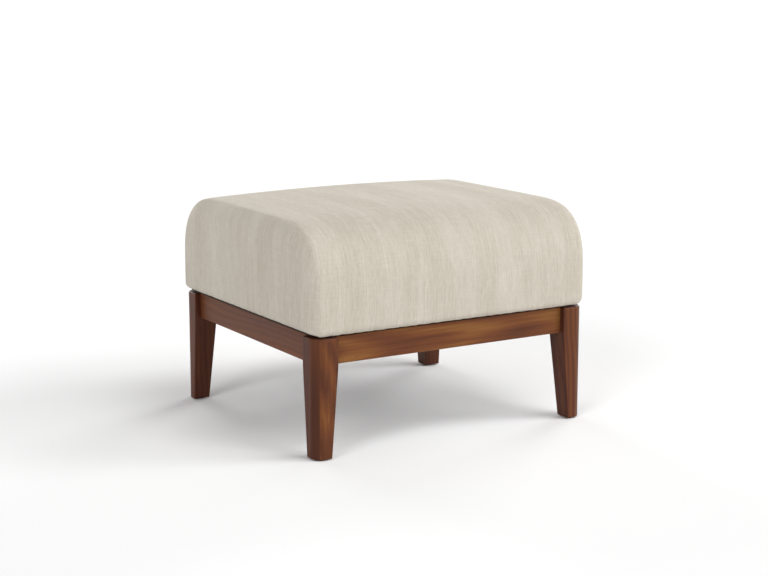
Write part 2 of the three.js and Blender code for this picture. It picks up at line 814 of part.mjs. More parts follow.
// Placing the pieces of the front and the rear
for (const [name, end] of [
  ["front", -1],
  ["rear", 1],
]) {
  const group = mirrored(1, end);
  const rail = makeRail(2 * (legInnerX - fitGap));
  place(group, `rail_${name}`, rail, walnut, [0, railInnerY + railThickness / 2, railMiddle]);
  const board = boxBetween(
    [fitGap - boardInnerX, boardInnerY, boardBottom],
    [boardInnerX - fitGap, boardOuterY, boardTop],
  );
  place(group, `seat_board_${name}`, board, beech);
}

// Placing the pieces that span the seat
place(ottoman, "seat_deck", makeDeck(), plywood);
place(ottoman, "foam_block", foamShape(coverThickness + fitGap, foamBottom), foam);
place(ottoman, "cover_band", cover.intersect(bandRoom()), linen);
const dustCoverX = mountRailX - dustCoverMargin;
const dustCoverY = boardInnerY - fitGap;
const dustCoverTop = boardBottom - fitGap;
place(
  ottoman,
  "dust_cover",
  boxBetween(
    [-dustCoverX, -dustCoverY, dustCoverTop - dustCoverThickness],
    [dustCoverX, dustCoverY, dustCoverTop],
  ),
  felt,
);

export default ottoman;
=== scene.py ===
import math
import bmesh
import bpy
import numpy as np
from mathutils import Euler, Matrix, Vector
from mathutils.geometry import tessellate_polygon


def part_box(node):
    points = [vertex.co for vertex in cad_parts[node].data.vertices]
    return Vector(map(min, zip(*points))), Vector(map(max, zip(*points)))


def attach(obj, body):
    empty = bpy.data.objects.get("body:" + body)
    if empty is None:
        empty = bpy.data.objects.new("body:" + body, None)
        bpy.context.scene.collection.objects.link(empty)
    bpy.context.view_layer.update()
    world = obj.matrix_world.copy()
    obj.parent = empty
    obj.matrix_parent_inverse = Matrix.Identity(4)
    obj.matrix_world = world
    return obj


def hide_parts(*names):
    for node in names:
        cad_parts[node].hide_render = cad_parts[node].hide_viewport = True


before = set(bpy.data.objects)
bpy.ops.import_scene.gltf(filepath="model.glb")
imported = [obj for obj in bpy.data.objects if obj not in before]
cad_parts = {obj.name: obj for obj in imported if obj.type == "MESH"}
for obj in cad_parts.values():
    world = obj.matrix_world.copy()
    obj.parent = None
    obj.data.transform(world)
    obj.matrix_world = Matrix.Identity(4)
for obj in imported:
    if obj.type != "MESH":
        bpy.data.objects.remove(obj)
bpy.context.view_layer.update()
scene = bpy.context.scene
print("frame loaded:", len(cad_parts), "nodes")

# Sides, ends and corners of the ottoman with their signs along x and y
sides = {"left": -1, "right": 1}
ends = {"front": -1, "rear": 1}
corners = {end + "_" + side: (x, y) for end, y in ends.items() for side, x in sides.items()}
legLow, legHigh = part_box("leg_rear_right")
railLow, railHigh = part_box("rail_right")

# Meshes: the distance at which points merge, and the angles of a flat, a sharp and an eased edge
shaping = {"merge": 1e-6, "flat": math.radians(1), "sharp": math.radians(45), "eased": math.radians(40)}


def gridFaces(rows, columns, roundColumns=False):
    # quads between neighbouring points of a grid, as indices into its rows laid end to end
    index = np.arange(rows * columns).reshape(rows, columns)
    if roundColumns:
        index = np.hstack([index, index[:, :1]])
    return np.stack([index[:-1, :-1], index[:-1, 1:], index[1:, 1:], index[1:, :-1]], -1).reshape(-1, 4)


def joined(grids):
    # all the points of several grids in one list, and each grid's quads as indices into that list
    faces, start = [], 0
    for grid in grids:
        faces.append(gridFaces(*grid.shape[:2]) + start)
        start += grid.shape[0] * grid.shape[1]
    return np.concatenate([grid.reshape(-1, 3) for grid in grids]), faces


def capped(rings):
    # the skin of a bar given as rings of points along it, with one face on each end
    count, size = rings.shape[:2]
    faces = gridFaces(count, size, roundColumns=True).tolist()
    faces += [list(range(size)), list(range((count - 1) * size, count * size))]
    return rings.reshape(-1, 3), faces


def newMesh(name, points, faces):
    mesh = bpy.data.meshes.new(name)
    mesh.from_pydata(np.asarray(points).tolist(), [], [list(face) for face in faces])
    return mesh


def cleaned(mesh, merge=0.0, slivers=False, fill=False, outwards=True):
    # merges close points, drops slivers, fills holes and turns the faces outwards, as asked
    work = bmesh.new()
    work.from_mesh(mesh)
    if merge:
        bmesh.ops.remove_doubles(work, verts=work.verts, dist=merge)
    if slivers:
        bmesh.ops.dissolve_degenerate(work, dist=merge, edges=work.edges)
    if fill:
        bmesh.ops.holes_fill(work, edges=work.edges, sides=0)
    if outwards:
        bmesh.ops.recalc_face_normals(work, faces=work.faces)
    work.to_mesh(mesh)
    work.free()
    return mesh


def dress(name, mesh, body, slot, replaced=()):
    # a mesh as a piece of the object: its finish, the body that carries it and the nodes it stands for
    piece = bpy.data.objects.new(name, mesh)
    scene.collection.objects.link(piece)
    mesh.materials.clear()
    mesh.materials.append(finishes[slot])
    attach(piece, body)
    if replaced:
        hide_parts(*replaced)
    return piece


def addPiece(name, points, faces, body, slot, replaced=(), closed=True):
    # points and faces as a smooth piece that keeps its sharp edges; a closed one is merged and looks outwards
    mesh = newMesh(name, points, faces)
    if closed:
        cleaned(mesh, merge=shaping["merge"], slivers=True)
    mesh.shade_smooth()
    mesh.set_sharp_from_angle(angle=shaping["sharp"])
    return dress(name, mesh, body, slot, replaced)


def softened(name, node, body, slot, width):
    # a merged copy of a CAD node with its sharp edges eased
    work = bmesh.new()
    work.from_mesh(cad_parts[node].data)
    bmesh.ops.remove_doubles(work, verts=work.verts, dist=shaping["merge"])
    bmesh.ops.dissolve_limit(work, angle_limit=shaping["flat"], verts=work.verts, edges=work.edges)
    mesh = bpy.data.meshes.new(name)
    work.to_mesh(mesh)
    work.free()
    piece = dress(name, mesh, body, slot, [node])
    ease = piece.modifiers.new("ease", "BEVEL")
    ease.width = width
    ease.segments = 2
    ease.limit_method = "ANGLE"
    ease.angle_limit = shaping["eased"]
    return piece


def thickened(piece, thickness):
    # a wall behind the faces of a skin
    wall = piece.modifiers.new("thickness", "SOLIDIFY")
    wall.thickness = thickness
    wall.offset = -1


def writeVectors(mesh, name, values):
    # one vector for every corner of every face
    layer = mesh.attributes.new(name, "FLOAT_VECTOR", "CORNER")
    layer.data.foreach_set("vector", values.astype(np.float32).ravel())


def readPoints(mesh):
    points = np.empty(len(mesh.vertices) * 3, np.float32)
    mesh.vertices.foreach_get("co", points)
    return points.reshape(-1, 3).astype(float)


def millimetres(profile):
    return np.array(profile) / 1000


def filleted(corners, radii, steps=6, hold=0.0004):
    # a closed outline whose corners are arcs, with a point close before and after each arc; at the share t of
    # its sweep s an arc is (sin((1 - t) s) first + sin(t s) last) / sin(s), seen from its middle
    corners = np.asarray(corners, float)
    outline = []
    for i, corner in enumerate(corners):
        back = corners[i - 1] - corner
        ahead = corners[(i + 1) % len(corners)] - corner
        back, ahead = back / np.linalg.norm(back), ahead / np.linalg.norm(ahead)
        half = math.acos(np.clip(back @ ahead, -1, 1)) / 2
        reach = radii[i] / math.tan(half)
        middle = corner + (back + ahead) / np.linalg.norm(back + ahead) * radii[i] / math.sin(half)
        first, last = corner + back * reach - middle, corner + ahead * reach - middle
        sweep = math.pi - 2 * half
        share = np.linspace(0, 1, steps + 1)[:, None]
        arc = (np.sin((1 - share) * sweep) * first + np.sin(share * sweep) * last) / math.sin(sweep)
        outline += [middle + first + back * hold, *(middle + arc), middle + last + ahead * hold]
    return np.array(outline)


def turned(profile, divisions=40, hexRows=(), acrossFlats=0.0):
    # a profile of [distance along Z, radius] spun round Z; rows in hexRows follow a hexagon instead, whose
    # radius is half the width across its flats over the cosine of the angle from the nearest flat
    along, radius = np.asarray(profile, float).T
    angle = np.arange(divisions) * 2 * math.pi / divisions
    radius = np.repeat(radius[:, None], divisions, 1)
    sixth = math.pi / 3
    hexagon = acrossFlats / 2 / np.cos((angle + sixth / 2) % sixth - sixth / 2)
    for row in hexRows:
        radius[row] = np.minimum(radius[row], hexagon)
    height = np.repeat(along[:, None], divisions, 1)
    points = np.stack([radius * np.cos(angle), radius * np.sin(angle), height], -1)
    return points.reshape(-1, 3), gridFaces(len(along), divisions, roundColumns=True)


def pointed(points, direction, place):
    # turns points drawn along Z so that they run along a direction, and moves them to a place
    turn = np.array(Vector((0, 0, 1)).rotation_difference(Vector(direction)).to_matrix())
    return np.asarray(points) @ turn.T + np.asarray(place)


def addTurned(name, profile, direction, place, body, slot, replaced, **options):
    # a turned profile as a piece, from a place along a direction
    points, faces = turned(profile, **options)
    addPiece(name, pointed(points, direction, place), faces, body, slot, [replaced])


def plate(loops, low, high, ease):
    # a plate between x = low and x = high with eased edges; each loop of [y, z] is repeated in six rings
    # from face to face, and the two faces are filled; the outline runs anticlockwise, the holes clockwise
    points, faces, tops, bottoms = [], [], [], []
    easeStep = ease * 0.3  # the easing is two flats that meet here
    rings = [(low, ease), (low + easeStep, easeStep), (low + ease, 0)]
    rings += [(high - ease, 0), (high - easeStep, easeStep), (high, ease)]
    for loop in loops:
        ahead = np.roll(loop, -1, 0) - np.roll(loop, 1, 0)
        inward = np.stack([-ahead[:, 1], ahead[:, 0]], -1)
        inward /= np.linalg.norm(inward, axis=1)[:, None]
        start = sum(len(part) for part in points)
        for x, inset in rings:
            points.append(np.column_stack([np.full(len(loop), x), loop + inward * inset]))
        faces += (gridFaces(len(rings), len(loop), roundColumns=True) + start).tolist()
        bottoms.append(start + np.arange(len(loop)))
        tops.append(bottoms[-1] + (len(rings) - 1) * len(loop))
    points = np.vstack(points)
    for face in (bottoms, tops):
        index = np.concatenate(face)
        filled = tessellate_polygon([[Vector((*points[i][1:], 0)) for i in loop] for loop in face])
        faces += [[index[i] for i in triangle] for triangle in filled]
    return points, faces


def arcPoints(y, z, radius, start, end, steps):
    # points [y, z] on a circle between two angles
    angle = np.linspace(start, end, steps)
    return np.stack([y + radius * np.cos(angle), z + radius * np.sin(angle)], -1)


def circle(y, z, radius, divisions=32):
    # a clockwise loop, as a hole in a plate
    return arcPoints(y, z, radius, 0, -2 * math.pi, divisions + 1)[:-1]


# Materials
def paint(*levels):
    # a colour as seen on a screen, 0 to 255, as the linear colour that a shader takes
    linear = [v / 12.92 if v <= 0.04045 else ((v + 0.055) / 1.055) ** 2.4 for v in np.array(levels) / 255]
    return (*linear, 1)


class Wire:
    # a node's output, so that shader maths is written as a plain sum
    def __init__(self, finish, socket):
        self.finish, self.socket = finish, socket

    def sum(self, operation, first, second):
        return self.finish.node("Math", {"operation": operation}, {0: first, 1: second})

    def __add__(self, other):
        return self.sum("ADD", self, other)

    def __sub__(self, other):
        return self.sum("SUBTRACT", self, other)

    def __mul__(self, other):
        return self.sum("MULTIPLY", self, other)

    __radd__, __rmul__ = __add__, __mul__


class Finish:
    # a material with its principled shader's fixed values, and short methods that add nodes
    def __init__(self, name, **fixed):
        self.material = bpy.data.materials.new(name)
        self.material.use_nodes = True
        self.tree = self.material.node_tree
        self.shader = self.tree.nodes["Principled BSDF"]
        for socket, value in fixed.items():
            self.shader.inputs[socket.replace("_", " ")].default_value = value

    def feed(self, socket, value):
        if isinstance(value, Wire):
            self.tree.links.new(value.socket, socket)
        else:
            socket.default_value = value

    def node(self, kind, settings=None, sockets=None, output=0):
        node = self.tree.nodes.new("ShaderNode" + kind)
        for key, value in (settings or {}).items():
            setattr(node, key, value)
        for key, value in (sockets or {}).items():
            self.feed(node.inputs[key], value)
        return Wire(self, node.outputs[output])

    def set(self, **sockets):
        for socket, value in sockets.items():
            self.feed(self.shader.inputs[socket.replace("_", " ")], value)
        return self.material

    def place(self):
        # Object coordinates
        return self.node("TexCoord", output=3)

    def read(self, name, output):
        return self.node("Attribute", {"attribute_name": name}, output=output)

    def part(self, vector, axis):
        return self.node("SeparateXYZ", {}, {0: vector}, output=axis)

    def wave(self, turns):
        return self.node("Math", {"operation": "SINE"}, {0: turns * (2 * math.pi)})

    def vectors(self, operation, *values, output=0):
        return self.node("VectorMath", {"operation": operation}, dict(enumerate(values)), output)

    def stretched(self, vector, scale, shift=(0, 0, 0)):
        return self.node("Mapping", {}, {"Vector": vector, "Scale": scale, "Location": shift})

    def noise(self, vector, scale=1.0, detail=2.0, roughness=0.5, distortion=0.0, output=0):
        return self.node("TexNoise", {}, {
            "Vector": vector, "Scale": scale, "Detail": detail, "Roughness": roughness,
            "Distortion": distortion}, output)

    def cells(self, vector, scale):
        return self.node("TexVoronoi", {"feature": "F1"}, {"Vector": vector, "Scale": scale})

    def between(self, value, low, high, newLow=0.0, newHigh=1.0):
        return self.node("MapRange", {"interpolation_type": "SMOOTHSTEP"}, {
            "Value": value, "From Min": low, "From Max": high, "To Min": newLow, "To Max": newHigh})

    def streaks(self, vector, scale, limits, shift=(0, 0, 0), **settings):
        # stretched noise, spread out between two limits
        return self.between(self.noise(self.stretched(vector, scale, shift), **settings), *limits)

    def mixed(self, share, first, second):
        return self.node("Mix", {"data_type": "RGBA"}, {0: share, 6: first, 7: second}, output=2)

    def ramp(self, value, stops):
        # stops are [place, screen colour] in rising order
        node = self.tree.nodes.new("ShaderNodeValToRGB")
        elements = node.color_ramp.elements
        while len(elements) < len(stops):
            elements.new(0.5)
        for element, (place, colour) in zip(elements, stops):
            element.position, element.color = place, paint(*colour)
        self.feed(node.inputs[0], value)
        return Wire(self, node.outputs[0])

    def bump(self, height, distance):
        return self.node("Bump", {}, {"Height": height, "Distance": distance, "Strength": 1.0})


def weighted(shares, values):
    # a sum of shader values, each times its share
    first, *rest = [value * share for share, value in zip(shares, values)]
    return sum(rest, first)


linenLook = {
    "warpPerMetre": 700, "weftPerMetre": 620, "sheen": 0.1, "relief": 0.0004,
    "ramp": [(0.2, (189, 180, 164)), (0.5, (203, 195, 181)), (0.8, (215, 207, 195))],
    # the dark colour, width and soft edge of the painted shade along the turned-under hem
    "paintedShadeColour": (32, 23, 17), "paintedShadeWidth": 0.0195, "paintedShadeEdge": 0.0005,
    # scale, limits and shift of the slubs, the fine slubs, the cross slubs and the bands
    "yarns": [((280, 16, 1), (0.26, 0.76), (3, 7, 0)), ((430, 70, 1), (0.26, 0.76), (11, 2, 0)),
              ((16, 420, 1), (0.34, 0.78), (5, 9, 0)), ((20, 1.6, 1), (0.25, 0.75), (1, 4, 0))],
    "cloudScale": (9, 9, 1), "toneShares": (0.24, 0.20, 0.11, 0.28, 0.17), "weaveTone": 0.06,
    "reliefShares": (0.8, 0.5, 0.4, 0.5), "roughness": 0.82, "slubRoughness": 0.14}


def makeLinen(look):
    # cloth with slubs along and across it, and a dark band of painted shade along its turned-under hem
    linen = Finish("linen", Sheen_Weight=look["sheen"], Sheen_Roughness=0.5, Specular_IOR_Level=0.2)
    flat = linen.node("UVMap", {"uv_map": "weave"})
    warp = linen.wave(linen.part(flat, 0) * look["warpPerMetre"])
    weft = linen.wave(linen.part(flat, 1) * look["weftPerMetre"])
    weave = linen.node("Math", {"operation": "ABSOLUTE"}, {0: warp * weft})
    slubs, fineSlubs, crossSlubs, bands = [
        linen.streaks(flat, *yarn, roughness=0.55) for yarn in look["yarns"]]
    cloud = linen.noise(linen.stretched(flat, look["cloudScale"]), detail=3)
    tone = weighted(look["toneShares"], (slubs, fineSlubs, crossSlubs, bands, cloud))
    colour = linen.ramp(tone + (weave - 0.4) * look["weaveTone"], look["ramp"])
    # a band of painted shade along the turned-under hem, darkening the cloth where the gap under the cushion
    # lies in shade
    width = look["paintedShadeWidth"]
    paintedShadeShare = linen.between(linen.read("hemRun", 2), width, width + look["paintedShadeEdge"], 1, 0)
    relief = weighted(look["reliefShares"], (slubs, fineSlubs, crossSlubs, weave))
    return linen.set(Base_Color=linen.mixed(paintedShadeShare, colour, paint(*look["paintedShadeColour"])),
                     Roughness=slubs * look["slubRoughness"] + look["roughness"],
                     Normal=linen.bump(relief, look["relief"]))


figure = {  # of any wood, with scales across, across and along the grain, and limits as in the linen
    "wander": (7, 7, 2.2), "wanderBy": (0.05, 0.05, 0), "ringStretch": (1, 1, 0.045),
    "streak": ((150, 150, 3.5), (0.28, 0.72)), "broad": ((26, 26, 1.3), (0.3, 0.7), (4, 2, 7)),
    "pores": ((1900, 1900, 42), (0.60, 0.72)),
    "toneShares": (0.34, 0.30, 0.36), "reliefShares": (0.3, 0.3, -1.0), "roughShares": (0.10, 0.12)}
walnutLook = {
    "ringsPerMetre": 95, "shine": 0.18, "roughness": 0.4, "relief": 0.0001, "poreShare": 0.4,
    "ramp": [(0.15, (70, 36, 24)), (0.42, (93, 52, 31)), (0.66, (112, 65, 35)), (0.9, (134, 88, 45))]}
beechLook = {
    "ringsPerMetre": 180, "shine": 0.3, "roughness": 0.6, "relief": 0.0002, "poreShare": 0.25,
    "ramp": [(0.15, (150, 112, 72)), (0.42, (182, 146, 102)), (0.66, (198, 164, 120)),
             (0.9, (212, 182, 140))]}


def makeWood(name, look):
    # year rings round the heart of the tree that wander along it, with streaks, broad bands and pores
    wood = Finish(name, Specular_IOR_Level=look["shine"], IOR=1.45)
    grain, board = wood.read("grain", 1), wood.read("board", 1)
    shade, strength = wood.part(board, 0), wood.part(board, 1)
    wander = wood.noise(wood.stretched(grain, figure["wander"]), output=1)
    bent = wood.vectors("MULTIPLY_ADD", wander, figure["wanderBy"], grain)
    across = wood.vectors("MULTIPLY", bent, figure["ringStretch"])
    distance = wood.vectors("LENGTH", across, output=1)
    rings = wood.wave(distance * look["ringsPerMetre"]) * 0.5 + 0.5
    streak = wood.streaks(grain, *figure["streak"], detail=3, roughness=0.6)
    broad = wood.streaks(grain, *figure["broad"])
    pores = wood.streaks(grain, *figure["pores"], detail=1)
    # shade darkens or lightens a whole board; on the legs' sides it is partly painted shade
    tone = (weighted(figure["toneShares"], (rings, streak, broad)) - 0.5) * strength + 0.5 + shade
    colour = wood.mixed(pores * look["poreShare"], wood.ramp(tone, look["ramp"]), paint(*look["ramp"][0][1]))
    relief = weighted(figure["reliefShares"], (streak, rings, pores))
    rough = weighted(figure["roughShares"], (streak - 0.5, pores)) + look["roughness"]
    return wood.set(Base_Color=colour, Roughness=rough, Normal=wood.bump(relief, look["relief"]))


plywoodLook = {
    "layer": 0.0048, "layerShare": 0.5, "streak": (4, 130, 4), "roughness": 0.55, "streakRoughness": 0.2,
    "relief": 0.0003, "glue": (150, 112, 72), "dark": (196, 166, 122), "light": (216, 190, 148)}


def makePlywood(look):
    # streaks along the face, and layers through the thickness
    ply = Finish("plywood", Specular_IOR_Level=0.3)
    place = ply.place()
    layer = ply.wave(ply.part(place, 2) * (1 / look["layer"])) * 0.5 + 0.5
    streak = ply.noise(ply.stretched(place, look["streak"]), detail=3)
    colour = ply.mixed(ply.between(streak, 0.3, 0.7), paint(*look["dark"]), paint(*look["light"]))
    colour = ply.mixed(ply.between(layer, 0.3, 0.7, 0, look["layerShare"]), colour, paint(*look["glue"]))
    return ply.set(Base_Color=colour, Roughness=streak * look["streakRoughness"] + look["roughness"],
                   Normal=ply.bump(streak, look["relief"]))


def makeMetal(name, dark, light, rough, metal, grainScale):
    # clouded colour with a fine speckle in its gloss
    steel = Finish(name, Metallic=metal)
    place = steel.place()
    cloud = steel.noise(place, 55, detail=4)
    speckle = steel.noise(place, grainScale)
    colour = steel.mixed(steel.between(cloud, 0.3, 0.7), paint(*dark), paint(*light))
    roughness = weighted((0.16, 0.1), (cloud - 0.5, speckle - 0.5)) + rough
    return steel.set(Base_Color=colour, Roughness=roughness, Normal=steel.bump(speckle, 0.00008))


def makeMoulded(name, colour, rough, grainScale):
    # moulded rubber or plastic with paler scuffs
    moulded = Finish(name, Specular_IOR_Level=0.35)
    place = moulded.place()
    speckle = moulded.noise(place, grainScale, detail=3)
    scuff = moulded.between(moulded.noise(place, 160, detail=4), 0.45, 0.8)
    shade = moulded.mixed(scuff * 0.5, paint(*colour), paint(*[c + 26 for c in colour]))
    return moulded.set(Base_Color=shade, Roughness=scuff * 0.1 + rough, Normal=moulded.bump(speckle, 0.00015))


def makeFoam():
    # open cells over a cloudy cream
    foam = Finish("foam", Roughness=0.95, Specular_IOR_Level=0.1)
    place = foam.place()
    cells = foam.cells(place, 620.0)
    cloud = foam.noise(place, 14, detail=3)
    colour = foam.mixed(foam.between(cloud, 0.3, 0.7), paint(226, 214, 172), paint(240, 230, 196))
    colour = foam.mixed(foam.between(cells, 0.2, 0.6, 0.5, 0), colour, paint(176, 160, 118))
    return foam.set(Base_Color=colour, Normal=foam.bump(cells, 0.0006))


def makeDustCloth():
    # unwoven fibres, pressed with a pattern of dimples
    cloth = Finish("dustCloth", Roughness=0.9, Specular_IOR_Level=0.15)
    place = cloth.place()
    fibres = cloth.noise(cloth.stretched(place, (900, 260, 900)), detail=4, distortion=1.5)
    dimples = cloth.cells(cloth.stretched(place, (1, 1, 0)), 420.0)
    colour = cloth.mixed(cloth.between(fibres, 0.35, 0.7), paint(30, 30, 32), paint(56, 56, 58))
    return cloth.set(Base_Color=colour, Normal=cloth.bump(fibres * 0.6 + dimples * 0.4, 0.0003))


finishes = {
    "linen": makeLinen(linenLook),
    "walnut": makeWood("walnut", walnutLook),
    "frame_wood": makeWood("beech", beechLook),
    "plywood": makePlywood(plywoodLook),
    "black_steel": makeMetal(
        "blackSteel", dark=(26, 26, 28), light=(44, 44, 46), rough=0.48, metal=0.3, grainScale=2600),
    "zinc_steel": makeMetal(
        "zincSteel", dark=(150, 150, 150), light=(196, 194, 186), rough=0.34, metal=1.0, grainScale=1800),
    "rubber": makeMoulded("rubber", colour=(24, 24, 24), rough=0.8, grainScale=1500),
    "nylon": makeMoulded("nylon", colour=(44, 36, 31), rough=0.5, grainScale=900),
    "foam": makeFoam(),
    "dust_cloth": makeDustCloth()}
print("materials made")

# Wood grain: each piece has its own cut out of the tree
veneerEdge = math.cos(math.radians(31))  # how far a face may turn away from the veneer's direction


def setGrain(piece, along, cut, facing=None):
    # cut is the shift from the heart of the tree in metres, the tilt in degrees, how much darker or lighter
    # the board is (on the legs' sides partly painted shade) and how strongly it is marked; facing is a
    # direction and the cut of a veneer on the faces that look that way; grain is stored as [across, across,
    # along], board as
    # [shade, strength, 0]
    mesh = piece.data
    order = {"x": (1, 2, 0), "y": (0, 2, 1), "z": (0, 1, 2)}[along]
    points = readPoints(mesh)[:, order]
    points -= (points.min(0) + points.max(0)) / 2
    used = np.empty(len(mesh.loops), np.int32)
    mesh.loops.foreach_get("vertex_index", used)
    points = points[used]

    def sawn(shift, tilt, shade, strength):
        turn = np.array(Euler((math.radians(tilt[0]), math.radians(tilt[1]), 0)).to_matrix())
        return points @ turn.T + np.asarray(shift), np.tile([shade, strength, 0.0], (len(points), 1))

    grain, board = sawn(*cut)
    if facing:
        normals = np.empty(len(mesh.polygons) * 3, np.float32)
        mesh.polygons.foreach_get("normal", normals)
        size = np.empty(len(mesh.polygons), np.int32)
        mesh.polygons.foreach_get("loop_total", size)
        looking = np.repeat(normals.reshape(-1, 3) @ np.asarray(facing[0]) > veneerEdge, size)
        for own, other in zip((grain, board), sawn(*facing[1])):
            own[looking] = other[looking]
    writeVectors(mesh, "grain", grain)
    writeVectors(mesh, "board", board)


# Legs
legShape = {
    "width": 0.0508, "footWidth": 0.0362, "cornerRadius": 0.0235, "footCornerRadius": 0.0225,
    "edgeRadius": 0.0025, "leastRadius": 0.0003, "topEasing": 0.0034, "footEasing": 0.0015,
    "taperEase": 0.012, "holdRing": 0.0005, "firstRing": 0.004, "lastRing": 0.01, "bendRings": 0.008}
legWidth = legShape["width"]
taperStart = railLow.z


def legRing(width, cornerRadius, inset):
    # the section drawn inwards from the outer corner, `inset` inside its outline
    low, high = inset, width - inset
    edge = max(legShape["edgeRadius"] - inset, legShape["leastRadius"])
    radii = [cornerRadius - inset, edge, edge, edge]
    return filleted([(low, low), (high, low), (high, high), (low, high)], radii, 14)


def makeLeg(side, end):
    # a square section with one large rounded corner, carried up from the foot; its width and radius grow with
    # the height up to the rails, and quarter circles ease its foot and its top
    top, foot, hold = legShape["topEasing"], legShape["footEasing"], legShape["holdRing"]
    roll = np.linspace(0, math.pi / 2, 7)
    levels = np.concatenate([
        [legLow.z + foot + hold],
        np.linspace(legLow.z + legShape["firstRing"], taperStart - legShape["lastRing"], 24),
        taperStart + np.linspace(-legShape["bendRings"], legShape["bendRings"], 9),
        [legHigh.z - top - hold]])
    heights = np.concatenate([
        legLow.z + foot * (1 - np.cos(roll)), levels, (legHigh.z - top * (1 - np.cos(roll)))[::-1]])
    insets = np.concatenate([
        foot * (1 - np.sin(roll)), 0 * levels, (top * (1 - np.sin(roll)))[::-1]])
    # the taper starts over a short soft stretch instead of a crease
    down = taperStart - heights
    soft = legShape["taperEase"]
    down = np.where(down > soft, down, np.where(down < -soft, 0, (down + soft) ** 2 / (4 * soft)))
    share = down / (taperStart - legLow.z)
    widths = legWidth + (legShape["footWidth"] - legWidth) * share
    radii = legShape["cornerRadius"] + (legShape["footCornerRadius"] - legShape["cornerRadius"]) * share
    rings = np.array([legRing(w, r, i) for w, r, i in zip(widths, radii, insets)])
    x, y = side * (legHigh.x - rings[..., 0]), end * (legHigh.y - rings[..., 1])
    return capped(np.stack([x, y, np.repeat(heights[:, None], rings.shape[1], 1)], -1))


# the legs' bodies get a darker shade than their front and rear faces: painted shade on the sides, on top of
# the walnut's own tone
legCutsAndPaintedShade = {  # of the leg, then of its front or rear face
    "front_left": (((0.075, 0.030, 0.10), (0.6, 0.5), -0.26, 0.45),
                   ((-0.004, -0.052, 0.62), (5.0, 0.3), 0.05, 0.8)),
    "front_right": (((0.060, 0.020, 0.50), (1.0, 0.8), -0.30, 0.4),
                    ((0.034, -0.034, 0.70), (-1.0, 0.8), 0.04, 0.7)),
    "rear_left": (((0.052, -0.030, 0.90), (1.0, -0.8), -0.24, 0.4),
                  ((0.010, 0.040, 1.10), (2.0, 0.6), -0.04, 0.8)),
    "rear_right": (((-0.050, 0.035, 1.30), (-1.0, 1.5), -0.2, 0.4),
                   ((0.004, 0.036, 1.50), (-3.0, 0.5), 0.0, 0.9))}
for corner, (side, end) in corners.items():
    piece = addPiece("woodLeg_" + corner, *makeLeg(side, end), "leg_frame", "walnut", ["leg_" + corner])
    leg, veneer = legCutsAndPaintedShade[corner]
    setGrain(piece, "z", leg, ((0, end, 0), veneer))
print("legs made")

# Rails, with a gap from each end to the leg
railShape = {"edge": 0.002, "gap": 0.0003, "holdRing": 0.0008, "firstRing": 0.01}
railReach = {"y": legHigh.y - legWidth - railShape["gap"], "x": legHigh.x - legWidth - railShape["gap"]}


def makeRail(along, sign):
    # a rectangle with rounded edges, carried along x or y from leg to leg
    half = (railHigh.x - railLow.x) / 2
    middle = (railHigh.x if along == "y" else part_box("rail_rear")[1].y) - half
    low, high = railLow.z, railHigh.z
    ring = filleted([(-half, low), (half, low), (half, high), (-half, high)], [railShape["edge"]] * 4)
    reach, hold, first = railReach[along], railShape["holdRing"], railShape["firstRing"]
    stations = np.concatenate([
        [-reach, -reach + hold], np.linspace(-reach + first, reach - first, 30), [reach - hold, reach]])
    run, across = np.meshgrid(stations, sign * (middle + ring[:, 0]), indexing="ij")
    height = np.repeat(ring[None, :, 1], len(stations), 0)
    return capped(np.stack([across, run, height] if along == "y" else [run, across, height], -1))


railCuts = {
    "left": ((0.065, 0.045, 0.3), (0.5, 0.4), -0.03, 0.4),
    "right": ((-0.06, 0.04, 2.1), (-0.5, 0.6), -0.03, 0.4),
    "front": ((0.050, -0.016, 3.3), (0.4, -0.9), 0.16, 0.8),
    "rear": ((0.05, 0.04, 4.4), (0.6, 0.7), 0.05, 0.8)}
for name, sign in {**sides, **ends}.items():
    along = "y" if name in sides else "x"
    piece = addPiece("woodRail_" + name, *makeRail(along, sign), "leg_frame", "walnut", ["rail_" + name])
    setGrain(piece, along, railCuts[name])
print("rails made")

# Corner blocks, corner bolts and foot glides; profiles are [distance along, radius] in millimetres
cornerBolt = {"length": 0.05285, "radius": 0.003, "acrossFlats": 0.010, "blockEasing": 0.0008}
cornerBoltProfile = millimetres([
    [0, 0], [0, 4.2], [0.5, 5.77], [4, 5.77], [4, 7.6], [4.3, 8], [5.3, 8], [5.6, 7.7], [5.6, 3], [51.6, 3],
    [52.85, 2], [52.85, 0]])
footGlideProfile = millimetres([
    [0, 0], [0, 10.4], [0.2, 11.3], [0.8, 12], [1.5, 12], [2, 11.5], [2, 1.6], [10.8, 1.6], [12, 0.2],
    [12, 0]])
diagonal = Vector((1, 1)) * math.sqrt(0.5)
boltTip = Vector(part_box("corner_bolt_rear_right")[1][:2]) - diagonal * cornerBolt["radius"]
boltHead = boltTip - diagonal * cornerBolt["length"]
for corner, (side, end) in corners.items():
    block = softened("cornerBlock_" + corner, "corner_block_" + corner, "leg_frame", "frame_wood",
                     cornerBolt["blockEasing"])
    setGrain(block, "x", ((0.05 * side, 0.03, 0.4 * end), (3, 40 * side * end), 0, 1))
    low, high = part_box("corner_bolt_" + corner)
    addTurned("cornerBolt_" + corner, cornerBoltProfile, (side, end, 0),
              (side * boltHead.x, end * boltHead.y, (low.z + high.z) / 2), "leg_frame", "zinc_steel",
              "corner_bolt_" + corner, divisions=36, hexRows=(2, 3), acrossFlats=cornerBolt["acrossFlats"])
    low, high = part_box("foot_glide_" + corner)
    addTurned("footGlide_" + corner, footGlideProfile, (0, 0, 1),
              ((low.x + high.x) / 2, (low.y + high.y) / 2, low.z),
              "leg_frame", "nylon", "foot_glide_" + corner)
print("corner pieces made")

